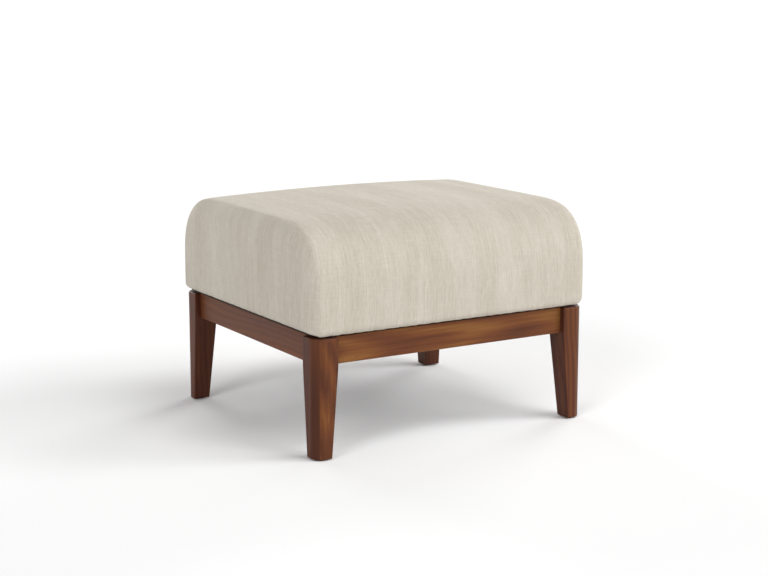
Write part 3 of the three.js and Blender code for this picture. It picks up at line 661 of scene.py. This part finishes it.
# Glide: a base bracket on each side rail, a seat bracket on each mounting rail, and four links between them
glide = {
    "baseFoot": 0.026, "baseEar": 0.016, "seatFoot": 0.022, "seatEar": 0.015, "barMargin": 0.005,
    "corner": 0.004, "footRound": 0.008, "earRound": 0.93, "ease": 0.0005, "shoulder": 0.001,
    "linkEnd": 0.014, "linkWaist": 0.009, "waistRound": 0.012,
    "pivotHole": 0.0043, "bearingHole": 0.0098, "stemHole": 0.0028, "screwHole": 0.0025, "innerScrew": 1 / 3}
screwHead = {"divisions": 24, "hexRows": (2, 3), "acrossFlats": 0.006}
upperLow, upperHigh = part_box("upper_pivot_bolt_rear_right")
lowerLow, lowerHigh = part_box("lower_pivot_bolt_rear_right")
bumperLow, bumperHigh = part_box("stop_bumper_rear_right")
pivotY = (upperLow.y + upperHigh.y) / 2
upperPivot, lowerPivot = (upperLow.z + upperHigh.z) / 2, (lowerLow.z + lowerHigh.z) / 2
bumperY, bumperZ = (bumperLow.y + bumperHigh.y) / 2, (bumperLow.z + bumperHigh.z) / 2


def earCorners(y, foot, radius, base, pivot, tip):
    # corners of an ear whose sides lean in from its foot, and their radii
    top = foot + (radius - foot) * (tip - base) / (pivot - base)
    radii = [glide["footRound"], radius * glide["earRound"], radius * glide["earRound"], glide["footRound"]]
    return [(y + foot, base), (y + top, tip), (y - top, tip), (y - foot, base)], radii


def bracketLoops(ends, bar, foot, radius, pivot, tip, holes):
    # a bar with two ears on one edge, and round holes; ends is half its length, bar the heights of its plain
    # edge and of the edge with the ears
    plain, base = bar
    outline, radii = [(-ends, plain), (ends, plain)], [glide["corner"]] * 2
    shouldered = ends > pivotY + foot + glide["shoulder"]
    if shouldered:
        outline.append((ends, base))
        radii.append(glide["corner"])
    for y in (pivotY, -pivotY):
        ear, earRadii = earCorners(y, foot, radius, base, pivot, tip)
        outline += ear
        radii += earRadii
    if shouldered:
        outline.append((-ends, base))
        radii.append(glide["corner"])
    else:
        radii[2] = radii[-1] = glide["corner"]
    loop = filleted(outline, radii, 8)
    if tip < base:
        loop = loop[::-1]
    middle = (plain + base) / 2
    rounds = [(y * s, z, r) for y, z, r in holes for s in (-1, 1)]
    screws = [(y * s, middle) for y in (pivotY, pivotY * glide["innerScrew"]) for s in (-1, 1)]
    rounds += [(y, z, glide["screwHole"]) for y, z in screws]
    return [loop] + [circle(*hole) for hole in rounds], screws


def linkLoops(y):
    # two round ends that flow through hollow arcs into a narrower waist
    big, waist, small = glide["linkEnd"], glide["linkWaist"], glide["waistRound"]
    across, fall = waist + small, math.sqrt((big + small) ** 2 - (waist + small) ** 2)
    meet, half = math.atan2(fall, across), math.pi
    outline = np.vstack([
        arcPoints(y, upperPivot, big, -meet, half + meet, 40),
        arcPoints(y - across, upperPivot - fall, small, meet, 0, 6)[1:],
        arcPoints(y - across, lowerPivot + fall, small, 0, -meet, 6),
        arcPoints(y, lowerPivot, big, half - meet, 2 * half + meet, 40)[1:],
        arcPoints(y + across, lowerPivot + fall, small, half + meet, half, 6)[1:],
        arcPoints(y + across, upperPivot - fall, small, half, half - meet, 6)[:-1]])
    return [outline] + [circle(y, z, glide["bearingHole"], 40) for z in (upperPivot, lowerPivot)]


def addPlate(name, loops, side, low, high, body, replaced):
    # a steel plate between the x of two corners of a box, on the given side
    points, faces = plate(loops, *sorted((side * low.x, side * high.x)), glide["ease"])
    addPiece(name, points, faces, body, "black_steel", [replaced])


def addScrews(name, places, x, direction, body):
    # hexagon-head screws, each with a flange, at places [y, z] on a face at x
    shape, faces = turned(screwProfile, **screwHead)
    points = np.concatenate([pointed(shape, direction, (x, y, z)) for y, z in places])
    faces = np.concatenate([faces + i * len(shape) for i in range(len(places))])
    addPiece(name, points, faces, body, "zinc_steel")


screwProfile = millimetres([
    [-2.6, 0], [-2.6, 2.9], [-2.2, 3.5], [-0.9, 3.5], [-0.7, 4.3], [0, 4.3], [0, 2], [9, 2], [11, 0.2],
    [11, 0]])
pivotProfile = millimetres([
    [0, 0], [0, 1.6], [0.3, 3.2], [0.9, 5.2], [1.7, 6.6], [2.4, 7], [3, 7], [3, 4], [7.6, 4], [7.6, 5.8],
    [7.8, 6], [11.8, 6], [12, 5.8], [12, 4], [18.6, 4], [18.6, 6.8], [18.8, 7], [20.2, 7], [21, 6.5],
    [21.6, 5.2], [21.8, 3], [21.8, 0]])
bearingProfile = millimetres([
    [0, 4.6], [0, 5.6], [0.35, 5.8], [0.35, 8], [0, 8.2], [0, 9.2], [0.3, 9.5], [5.7, 9.5], [6, 9.2],
    [6, 8.2], [5.65, 8], [5.65, 5.8], [6, 5.6], [6, 4.6], [5.7, 4.3], [0.3, 4.3], [0, 4.6]])
bumperProfile = millimetres([
    [0, 0], [0, 3.4], [0.25, 4.2], [0.8, 5], [1.9, 6.4], [2.6, 6.9], [3.4, 7], [9.8, 7], [10.4, 6.4],
    [10.4, 2.5], [14.6, 2.5], [14.6, 0]])
for name, side in sides.items():
    low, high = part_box("glide_base_bracket_right")
    loops, screws = bracketLoops(
        high.y, (low.z, legHigh.z), glide["baseFoot"], glide["baseEar"], upperPivot, high.z,
        [(pivotY, upperPivot, glide["pivotHole"]), (bumperY, bumperZ, glide["stemHole"])])
    addPlate("baseBracket_" + name, loops, side, low, high, "leg_frame", "glide_base_bracket_" + name)
    addScrews("baseScrews_" + name, screws, side * low.x, (side, 0, 0), "leg_frame")
    low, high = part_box("glide_seat_bracket_right")
    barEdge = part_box("seat_board_right")[0].z + glide["barMargin"]
    loops, screws = bracketLoops(
        high.y, (high.z, barEdge), glide["seatFoot"], glide["seatEar"], lowerPivot, low.z,
        [(pivotY, lowerPivot, glide["pivotHole"])])
    addPlate("seatBracket_" + name, loops, side, low, high, "seat", "glide_seat_bracket_" + name)
    addScrews("seatScrews_" + name, screws, side * high.x, (-side, 0, 0), "seat")
for corner, (side, end) in corners.items():
    link, y = "link_" + corner, end * pivotY
    low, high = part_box("swing_link_rear_right")
    addPlate("swingLink_" + corner, linkLoops(y), side, low, high, link, "swing_link_" + corner)
    for level, height in (("upper", upperPivot), ("lower", lowerPivot)):
        addTurned(level + "Bearing_" + corner, bearingProfile, (side, 0, 0), (side * low.x, y, height), link,
                  "zinc_steel", level + "_bearing_" + corner)
    addTurned("upperPivot_" + corner, pivotProfile, (-side, 0, 0), (side * upperHigh.x, y, upperPivot),
              "leg_frame", "zinc_steel", "upper_pivot_bolt_" + corner)
    addTurned("lowerPivot_" + corner, pivotProfile, (side, 0, 0), (side * lowerLow.x, y, lowerPivot),
              "seat", "zinc_steel", "lower_pivot_bolt_" + corner)
    addTurned("stopBumper_" + corner, bumperProfile, (side, 0, 0),
              (side * bumperLow.x, end * bumperY, bumperZ), "leg_frame", "rubber", "stop_bumper_" + corner)
print("glide made")

# Seat box
boardEasing, deckEasing = 0.0012, 0.0004
for name in (*sides, *ends):
    board = softened("seatBoard_" + name, "seat_board_" + name, "seat", "frame_wood", boardEasing)
    setGrain(board, "y" if name in sides else "x", ((0.03, 0.05, len(name)), (1, 0.6), 0, 1))
for name in sides:
    board = softened("mountRail_" + name, "glide_mount_rail_" + name, "seat", "frame_wood", boardEasing)
    setGrain(board, "y", ((0.05, -0.02, 2 + len(name)), (0.5, 1.2), 0, 1))
softened("seatDeck", "seat_deck", "seat", "plywood", deckEasing)
print("seat box made")

# Cushion: a band over the front, top and rear, sewn to two flat side panels
cushion = {
    "sideOverhang": 0.008, "endOverhang": 0.0011, "seatGap": 0.003, "panelHeight": 0.2056,
    "crown": 0.0118, "waterfall": 0.144, "fullness": 2.92, "edge": 0.034, "bulge": 0.0018,
    "seamAngle": 66, "sideEnd": 57, "bandStart": 79, "seamRoll": 0.0010, "seamDepth": 0.004,
    "seamGap": 0.0003, "tuck": 0.011, "tuckRise": 0.0135, "hem": 0.030, "hemCoarse": 0.016, "hemFine": 0.0145,
    "wall": 0.05, "thickness": 0.0012, "step": 0.0045, "merge": 2e-5}
rim = {
    "bandLift": 0.0008, "sideLift": 0.0062, "hemLift": 0.0016, "start": 0.0108, "end": 0.0135,
    "fade": 0.017, "top": 0.07}
staples = {
    "pitch": 0.0252, "wander": [(0.13, 61, 0), (0.08, 143, 1)], "fullness": 0.8, "middle": 0.5,
    "even": 0.75, "uneven": 0.35, "unevenTurns": (47, 19), "unevenStart": 2,
    "scallop": 0.0011, "scallopFade": 0.010, "scallopTop": 0.09,
    "dimple": 0.0006, "dimpleShift": 0.2, "dimpleFade": 0.030, "dimpleTop": 0.12}
halfWidth = legHigh.x + cushion["sideOverhang"]
halfDepth = legHigh.y + cushion["endOverhang"]
seatBottom = legHigh.z + cushion["seatGap"]
seamTop = seatBottom + cushion["panelHeight"]
edge = cushion["edge"]
seamAngle = math.radians(cushion["seamAngle"])


def coverRows(step):
    # rows of the front half, from the hem's raw edge up the front to the middle of the top: the outline's
    # place y, z and normal ny, nz, and how far the row lies inside it. The waterfall is a superellipse,
    # y = halfDepth - R + R cos(a)^(2/n) and z = seamTop - R + R sin(a)^(2/n), in steps of equal length
    tuck, radius, power = cushion["tuck"], cushion["waterfall"], 2 / cushion["fullness"]
    rise = cushion["tuckRise"]
    hem = np.concatenate([
        np.linspace(cushion["hem"], cushion["hemCoarse"], 4), np.linspace(cushion["hemFine"], tuck, 6)[:-1]])
    roll = np.linspace(math.pi / 2, 0, 9)
    wall = np.linspace(seatBottom + rise, seamTop - radius, max(4, round(cushion["wall"] / step)))[1:]
    dense = np.linspace(0, math.pi / 2, 2000)
    curve = np.stack([np.cos(dense) ** power, np.sin(dense) ** power], -1)
    length = np.concatenate([[0], np.cumsum(np.linalg.norm(np.diff(curve, axis=0), axis=1))])
    count = round(length[-1] * radius / step)
    angle = np.interp(np.linspace(0, length[-1], count + 1)[1:], length, dense)
    out, up = np.cos(angle) ** power, np.sin(angle) ** power
    flat = np.linspace(halfDepth - radius, 0, max(4, round((halfDepth - radius) / step)) + 1)[1:]

    def rowsAt(y, z, ny, nz, inset):
        return np.stack(np.broadcast_arrays(y, z, ny, nz, inset), -1)

    place = np.concatenate([
        rowsAt(halfDepth, seatBottom, 1, 0, hem),
        rowsAt(halfDepth, seatBottom + rise * (1 - np.sin(roll)), 1, 0, tuck * (1 - np.cos(roll))),
        rowsAt(halfDepth, wall, 1, 0, 0),
        rowsAt(halfDepth - radius + radius * out, seamTop - radius + radius * up, out, up, 0),
        rowsAt(flat, seamTop, 0, 1, 0)])
    drawn = place[:, :2] - place[:, 2:4] * place[:, 4:]
    run = np.concatenate([[0], np.cumsum(np.linalg.norm(np.diff(drawn, axis=0), axis=1))])
    return {"place": place, "run": run, "patchRows": len(place) - len(flat), "tuckRows": len(hem) + len(roll)}


def fullRows(half):
    # the front half's rows and the rear's mirror image, without doubling the middle one
    front = half["place"] * (-1, 1, -1, 1, 1)
    rear = half["place"][::-1][1:]
    last = half["run"][-1]
    return np.vstack([front, rear]), np.concatenate([half["run"], 2 * last - half["run"][::-1][1:]])


def plump(points, high):
    # the crown over the top is crown (1 - u^2)(1 - v^2), with u and v from -1 to 1 across and along; each
    # panel bulges by bulge sin(pi h) at the share h of its height, less towards its ends
    x, y, z = points[..., 0], points[..., 1], points[..., 2]
    across = np.clip(1 - (x / halfWidth) ** 2, 0, 1)
    along = np.clip(1 - (y / halfDepth) ** 2, 0, 1)
    lift = np.where(high, cushion["crown"] * across * along, 0)
    share = np.clip((z + lift - seatBottom) / (seamTop - seatBottom), 0, 1)
    swell = cushion["bulge"] * np.sin(math.pi * share)
    outY = np.sign(y) * swell * np.sqrt(across) * np.minimum(1, np.abs(y) / halfDepth) ** 4
    outX = np.sign(x) * swell * np.sqrt(along) * np.minimum(1, np.abs(x) / halfWidth) ** 8
    return np.stack([x + outX, y + outY, z + lift], -1)


def foldShape(angle):
    # two arcs that meet at the seam in a low ridge, their normals a few degrees apart; the arcs' radii follow
    # from (1 - cos a) R1 + cos b R2 = 1 and sin a R1 + (1 - sin b) R2 = 1, for a fold one unit wide and deep
    a, b = math.radians(cushion["sideEnd"]), math.radians(cushion["bandStart"])
    sideRadius, bandRadius = np.linalg.solve(
        [[1 - math.cos(a), math.cos(b)], [math.sin(a), 1 - math.sin(b)]], [1, 1])
    onSide = angle <= seamAngle
    quarter = math.pi / 2
    onBand = b + (angle - seamAngle) * (quarter - b) / (quarter - seamAngle)
    turn = np.where(onSide, angle * a / seamAngle, onBand)
    out = np.where(onSide, 1 - sideRadius * (1 - np.cos(turn)), bandRadius * np.cos(turn))
    up = np.where(onSide, sideRadius * np.sin(turn), 1 - bandRadius * (1 - np.sin(turn)))
    return out, up


def foldGrid(rows, middle, angle, sink, side):
    # columns turn from the side panel (angle 0) to the band (a quarter turn) round a line `middle` from the
    # centre, and sink into the seam
    y, z, ny, nz, inset = rows.T[:, :, None]
    out, up = foldShape(angle)
    x = side * (middle + (edge - inset) * out)
    deep = edge - (edge - inset) * up
    points = plump(np.stack([x, y - deep * ny, z - deep * nz], -1),
                   z + 0 * angle > seamTop - cushion["waterfall"] + shaping["merge"])
    upwards = math.sin(seamAngle)
    inward = np.stack([side * math.cos(seamAngle) + 0 * y, upwards * ny, upwards * nz], -1)
    return points - inward * sink[:, None]


def seamColumns(towardsBand, count):
    # fold angles from the flat up to the seam, the small roll into it and the allowance below it
    roll, depth = cushion["seamRoll"], cushion["seamDepth"]
    width = math.pi / 2 - seamAngle if towardsBand else seamAngle
    gap = cushion["seamGap"] / edge
    far = np.linspace(width, roll / edge + gap, count)
    turn = np.linspace(0, math.pi / 2, 5)[1:]
    away = np.concatenate([far, roll / edge * (1 - np.sin(turn)) + gap, [gap, gap]])
    sink = np.concatenate([0 * far, roll * (1 - np.cos(turn)), [depth / 2, depth]])
    return (seamAngle + away if towardsBand else seamAngle - away), sink


def bandColumns(step, sewn=True):
    # middles, fold angles and depths of the band's columns, from the left seam to the right one
    flatCount = round(2 * (halfWidth - edge) / step)
    flat = np.linspace(-(halfWidth - edge), halfWidth - edge, flatCount + 1)
    if sewn:
        angle, sink = seamColumns(True, max(5, round(edge * 0.6 / step) + 3))
    else:
        angle, sink = np.linspace(math.pi / 2, seamAngle, 3), np.zeros(3)
    return flat, angle[1:], sink[1:]


def makeBand(rows, flat, angle, sink):
    # the left fold, the straight middle and the right fold side by side, and the columns' places unrolled
    upright = np.array([math.pi / 2])
    left = foldGrid(rows, halfWidth - edge, angle[::-1], sink[::-1], -1)
    middle = [foldGrid(rows, abs(x), upright, np.zeros(1), np.sign(x) or 1) for x in flat]
    right = foldGrid(rows, halfWidth - edge, angle, sink, 1)
    around = edge * (math.pi / 2 - angle)
    unrolled = np.concatenate([flat[0] - around[::-1], flat, flat[-1] + around])
    return np.concatenate([left, *middle, right], axis=1), unrolled


def makePatch(half, shares, side):
    # the flat inner part of a side panel: every row runs from the front edge to the rear edge
    y, z, ny, nz, inset = half["place"][:half["patchRows"]].T[:, :, None]
    x = side * (halfWidth - inset) + 0 * shares
    points = np.stack([x, shares * (y - edge * ny), z - edge * nz + 0 * shares], -1)
    return plump(points, np.zeros(points.shape[:2], bool))


def patchShares(half):
    # where a patch's columns cut its rows, from -1 at the front to 1 at the rear, spaced like the top's rows
    flat = half["place"][half["patchRows"] - 1:, 0] / (halfDepth - cushion["waterfall"])
    return np.concatenate([-flat, flat[::-1][1:]])


stuffing = {
    "step": 0.0115, "pressure": 4.0, "frames": 20, "cap": 0.0035, "share": 0.3, "reach": 0.009,
    "quality": 6, "tension": 30, "shear": 12, "bending": 2, "batches": 60}


def stuffCover():
    # the cover as one coarse closed cloth, held at its seams and hem, swells under pressure;
    # gives its points and how far each of them moved
    half = coverRows(stuffing["step"])
    rows, _ = fullRows(half)
    shares = patchShares(half)
    foldAngle = np.linspace(0, seamAngle, 4)
    grids = {"band": makeBand(rows, *bandColumns(stuffing["step"], sewn=False))[0]}
    for name, side in sides.items():
        grids["fold_" + name] = foldGrid(rows, halfWidth - edge, foldAngle, 0 * foldAngle, side)
        grids["patch_" + name] = makePatch(half, shares, side)
    held = {name: np.zeros(grid.shape[:2], bool) for name, grid in grids.items()}
    for name in grids:
        held[name][:half["tuckRows"]] = True
        if not name.startswith("patch"):
            held[name][-half["tuckRows"]:] = True
    held["band"][:, [0, -1]] = True
    allPoints, quads = joined(list(grids.values()))
    allHeld = np.concatenate([mask.ravel() for mask in held.values()])
    _, first, same = np.unique(np.round(allPoints, 5), axis=0, return_index=True, return_inverse=True)
    same = same.ravel()
    start = allPoints[first]
    pinned = np.zeros(len(first), bool)
    np.logical_or.at(pinned, same, allHeld)
    mesh = cleaned(newMesh("stuffing", start, same[np.concatenate(quads)]), fill=True)
    cloth = bpy.data.objects.new("stuffing", mesh)
    scene.collection.objects.link(cloth)
    cloth.vertex_groups.new(name="held").add(np.flatnonzero(pinned).tolist(), 1.0, "REPLACE")
    settings = cloth.modifiers.new("cloth", "CLOTH").settings
    settings.use_pressure = True
    settings.uniform_pressure_force = stuffing["pressure"]
    settings.vertex_group_mass = "held"
    settings.effector_weights.gravity = 0
    settings.quality = stuffing["quality"]
    settings.tension_stiffness = settings.compression_stiffness = stuffing["tension"]
    settings.shear_stiffness = stuffing["shear"]
    settings.bending_stiffness = stuffing["bending"]
    for number in range(1, stuffing["frames"] + 1):
        scene.frame_set(number)
    moved = readPoints(cloth.evaluated_get(bpy.context.evaluated_depsgraph_get()).data) - start
    scene.frame_set(1)
    bpy.data.objects.remove(cloth)
    length = np.linalg.norm(moved, axis=1)
    print("stuffing moved the cover by up to", round(float(length.max()) * 1000, 2), "mm, on average",
          round(float(length.mean()) * 1000, 2))
    moved *= (stuffing["share"] * np.minimum(1, stuffing["cap"] / np.maximum(length, 1e-9)))[:, None]
    return start, moved


def stuffed(points, swelling):
    # every point moves with the cloth round it: the mean over the cloth's points, weighted by
    # exp(-distance^2 / (2 reach^2)), so that pieces that meet move together
    if swelling is None:
        return points
    cloth, moved = swelling
    shift = []
    for part in np.array_split(points.reshape(-1, 3), stuffing["batches"]):
        apart = (part ** 2).sum(1)[:, None] + (cloth ** 2).sum(1)[None] - 2 * part @ cloth.T
        near = np.exp(-apart / (2 * stuffing["reach"] ** 2))
        shift.append(near @ moved / (near.sum(1)[:, None] + 1e-12))
    return points + np.concatenate(shift).reshape(points.shape)


def lifted(points, inset, share):
    # the lower rim stands higher than the hem that is stapled under the boards, most of all at the sides:
    # share is 0 on the band and 1 on a side panel, and the lift fades upwards as exp(-(height / fade)^2)
    past = np.clip((inset - rim["start"]) / (rim["end"] - rim["start"]), 0, 1)
    hem = past ** 2 * (3 - 2 * past)
    lift = rim["bandLift"] + (rim["sideLift"] - rim["bandLift"]) * share
    above = np.clip(points[..., 2] - seatBottom, 0, None)
    fade = np.exp(-(above / rim["fade"]) ** 2) * (above < rim["top"])
    points[..., 2] += (lift * (1 - hem) + rim["hemLift"] * hem) * fade
    return points


def finishEdge(points, run, direction):
    # the lower edge is drawn up at each staple and hangs a little lower between them, as a power of
    # |sin(pi run / pitch)| with a slow unevenness, and the cloth above is dimpled along the given axis
    wander = sum(size * np.sin(run * turns + start) for size, turns, start in staples["wander"])
    phase = run / staples["pitch"] + wander
    hang = np.abs(np.sin(math.pi * phase)) ** staples["fullness"] - staples["middle"]
    slow, slower = staples["unevenTurns"]
    wave = np.sin(run * slow + staples["unevenStart"]) * np.sin(run * slower)
    uneven = staples["even"] + staples["uneven"] * wave
    above = np.clip(points[..., 2] - seatBottom, 0, None)
    low = np.exp(-above / staples["scallopFade"]) * (above < staples["scallopTop"])
    near = np.exp(-above / staples["dimpleFade"]) * (above < staples["dimpleTop"])
    points[..., 2] -= staples["scallop"] * hang * uneven * low
    dimple = near * staples["dimple"] * (hang + staples["dimpleShift"]) * uneven
    points[..., direction] += np.sign(points[..., direction]) * dimple
    return points


def sewCover(name, grids, replaced):
    # joins the grids of one fabric piece into a skin with thickness; each grid comes with its flat pattern,
    # how far along the cloth its rows lie from the hem's raw edge, and whether its faces are turned over
    points, quads = joined([grid for grid, _, _, _ in grids])
    faces = np.concatenate([part[:, ::-1] if grid[3] else part for part, grid in zip(quads, grids)])
    pattern = np.concatenate([flat.reshape(-1, 2) for _, flat, _, _ in grids])
    runs = [np.broadcast_to(run[:, None], grid.shape[:2]).ravel() for grid, _, run, _ in grids]
    hemRun = np.concatenate(runs).astype(np.float32)
    mesh = newMesh(name, points, faces)
    mesh.attributes.new("hemRun", "FLOAT", "POINT").data.foreach_set("value", hemRun)
    layer = mesh.uv_layers.new(name="weave")
    layer.data.foreach_set("uv", pattern[faces.ravel()].astype(np.float32).ravel())
    cleaned(mesh, merge=cushion["merge"], outwards=False)
    mesh.shade_smooth()
    piece = dress(name, mesh, "seat", "linen", replaced)
    thickened(piece, cushion["thickness"])


def makeCover():
    half = coverRows(cushion["step"])
    rows, run = fullRows(half)
    hemRun = np.minimum(run, run[-1] - run)
    swelling = stuffCover()
    band, unrolled = makeBand(rows, *bandColumns(cushion["step"]))
    band = finishEdge(lifted(stuffed(band, swelling), rows[:, 4:], 0), band[..., 0], 1)
    bandPattern = np.stack(np.meshgrid(run, unrolled, indexing="ij")[::-1], -1)
    sewCover("coverBand", [(band, bandPattern, hemRun, True)], ["cover_band"])
    shares = patchShares(half)
    foldAngle, foldSink = seamColumns(False, 9)
    onSide = np.cos(foldAngle * math.pi / 2 / seamAngle) ** 0.8
    patchRun = half["run"][:half["patchRows"]]
    tuckRun = half["run"][half["tuckRows"] - 1]

    def patternHeight(run, z):
        # the flat pattern follows the height, and goes on down by the run where the cloth turns under
        turnedUnder = seatBottom + cushion["tuckRise"] - tuckRun + run[:, None]
        return np.where(run[:, None] < tuckRun, turnedUnder, z)

    for name, side in sides.items():
        fold = foldGrid(rows, halfWidth - edge, foldAngle, foldSink, side)
        fold = finishEdge(lifted(stuffed(fold, swelling), rows[:, 4:], onSide), fold[..., 1], 0)
        patch = makePatch(half, shares, side)
        inset = half["place"][:half["patchRows"], 4:]
        patch = finishEdge(lifted(stuffed(patch, swelling), inset, 1), patch[..., 1], 0)
        y, z, ny, nz, _ = rows.T[:, :, None]
        around = edge * foldAngle - edge
        foldPattern = np.stack([y + ny * around, patternHeight(hemRun, z + nz * around)], -1)
        patchPattern = np.stack([patch[..., 1], patternHeight(patchRun, patch[..., 2])], -1)
        grids = [(fold, foldPattern, hemRun, side < 0), (patch, patchPattern, patchRun, side > 0)]
        sewCover("coverSide_" + name, grids, ["cover_side_" + name])


makeCover()
print("cover sewn")

# Foam, a little inside the cover
foam = {"inset": 0.0053, "step": 0.012, "bottomClear": 0.002, "merge": 1e-4}


def makeFoamBlock():
    # the cover's own rows and columns above the deck, moved inwards, with its underside filled flat
    half = coverRows(foam["step"])
    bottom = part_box("foam_block")[0].z
    place = half["place"][half["place"][:, 1] > bottom + foam["bottomClear"]]
    place = np.vstack([[halfDepth, bottom, 1, 0, 0], place])
    place[:, 4] = foam["inset"]
    patchRows = half["patchRows"] - len(half["place"]) + len(place)
    cut = {"place": place, "run": np.zeros(len(place)), "patchRows": patchRows}
    rows, _ = fullRows(cut)
    flat, _, _ = bandColumns(foam["step"], sewn=False)
    angle = np.linspace(math.pi / 2, 0, 9)[1:]
    shares = patchShares(half)
    grids = [makeBand(rows, flat, angle, 0 * angle)[0]]
    grids += [makePatch(cut, shares, side) for side in sides.values()]
    points, quads = joined(grids)
    mesh = cleaned(newMesh("foamBlock", points, np.concatenate(quads)), merge=foam["merge"], fill=True)
    mesh.shade_smooth()
    mesh.set_sharp_from_angle(angle=shaping["sharp"])
    dress("foamBlock", mesh, "seat", "foam", ["foam_block"])


makeFoamBlock()

# Dust cover, stapled under the mounting rails and the boards
dust = {"sag": 0.0016, "pucker": 0.0004, "puckerReach": 0.03, "thickness": 0.0005, "topClear": 0.0003,
        "staplePitch": 0.045}


def makeDustCover():
    # z = top - sag (1 - u^2)(1 - v^2) with u, v from -1 to 1, and ripples that die away from the staples
    low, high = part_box("dust_cover")
    width, length = high.x - low.x, high.y - low.y
    v, u = np.meshgrid(np.linspace(-1, 1, 141), np.linspace(-1, 1, 141), indexing="ij")
    x, y = u * width / 2, v * length / 2
    edgeX, edgeY = (1 - np.abs(u)) * width / 2, (1 - np.abs(v)) * length / 2
    reach, turns = dust["puckerReach"], 2 * math.pi / dust["staplePitch"]
    ripple = np.exp(-edgeX / reach) * np.cos(y * turns) + np.exp(-edgeY / reach) * np.cos(x * turns)
    sag = dust["sag"] * (1 - u ** 2) * (1 - v ** 2)
    z = high.z - dust["topClear"] - sag - dust["pucker"] * (1 + 0.5 * ripple)
    points = np.stack([x, y, z], -1).reshape(-1, 3)
    piece = addPiece("dustCloth", points, gridFaces(*u.shape), "seat", "dust_cloth", ["dust_cover"],
                     closed=False)
    thickened(piece, dust["thickness"])


makeDustCover()
print("foam and dust cover made")

# Camera, light and floor
cameraView = {
    "place": (-1.75953, -2.92117, 0.91616), "tilt": 79.0466, "turn": -31.2073, "lens": 77.714, "sensor": 36.0}
light = {
    "ambient": 0.309,
    # each sun's strength, angular size, elevation and azimuth anticlockwise from +X, in degrees
    "suns": [(1.20, 26, 16, 30), (1.18, 26, 28, 330), (0.97, 26, 28, 210), (0.94, 26, 16, 90),
             (0.56, 26, 28, 300), (0.66, 26, 64, 300)]}
floorLook = {"half": 60.0, "colour": (0.97, 0.97, 0.97, 1)}


def makeCamera():
    # the photograph's camera, fitted to the legs, rails and cushion; tilt is measured from straight down
    camera = bpy.data.objects.new("camera", bpy.data.cameras.new("camera"))
    camera.data.lens, camera.data.sensor_width = cameraView["lens"], cameraView["sensor"]
    camera.location = cameraView["place"]
    camera.rotation_euler = (math.radians(cameraView["tilt"]), 0, math.radians(cameraView["turn"]))
    scene.collection.objects.link(camera)
    scene.camera = camera


def makeLight():
    # soft suns, and a world that is white to the camera and to reflections but dim as a light
    for strength, size, elevation, azimuth in light["suns"]:
        sun = bpy.data.objects.new("sun", bpy.data.lights.new("sun", "SUN"))
        sun.data.energy, sun.data.angle = strength, math.radians(size)
        sun.rotation_euler = (math.radians(90 - elevation), 0, math.radians(90 + azimuth))
        scene.collection.objects.link(sun)
    world = bpy.data.worlds.new("world")
    world.use_nodes = True
    scene.world = world
    nodes, links = world.node_tree.nodes, world.node_tree.links
    path = nodes.new("ShaderNodeLightPath")
    seen = path.outputs["Is Camera Ray"]
    for other in ("Is Glossy Ray", "Is Transmission Ray"):
        either = nodes.new("ShaderNodeMath")
        either.operation = "MAXIMUM"
        links.new(seen, either.inputs[0])
        links.new(path.outputs[other], either.inputs[1])
        seen = either.outputs[0]
    strength = nodes.new("ShaderNodeMapRange")
    strength.inputs["To Min"].default_value = light["ambient"]
    links.new(seen, strength.inputs["Value"])
    links.new(strength.outputs[0], nodes["Background"].inputs["Strength"])
    nodes["Background"].inputs["Color"].default_value = (1, 1, 1, 1)


def makeFloor():
    # a matt white square that is clear from below
    half = floorLook["half"]
    floor = Finish("floor", Roughness=1.0, Specular_IOR_Level=0.0, Base_Color=floorLook["colour"])
    clear = floor.node("BsdfTransparent")
    below = floor.node("NewGeometry", output=6)
    solid = Wire(floor, floor.shader.outputs[0])
    shown = floor.node("MixShader", {}, {0: below, 1: solid, 2: clear})
    floor.feed(floor.tree.nodes["Material Output"].inputs["Surface"], shown)
    points = [(-half, -half, 0), (half, -half, 0), (half, half, 0), (-half, half, 0)]
    mesh = newMesh("floor", points, [(0, 1, 2, 3)])
    mesh.materials.append(floor.material)
    piece = bpy.data.objects.new("floor", mesh)
    scene.collection.objects.link(piece)


makeCamera()
makeLight()
makeFloor()
scene.view_settings.view_transform = "Standard"
print("camera, light and floor made")
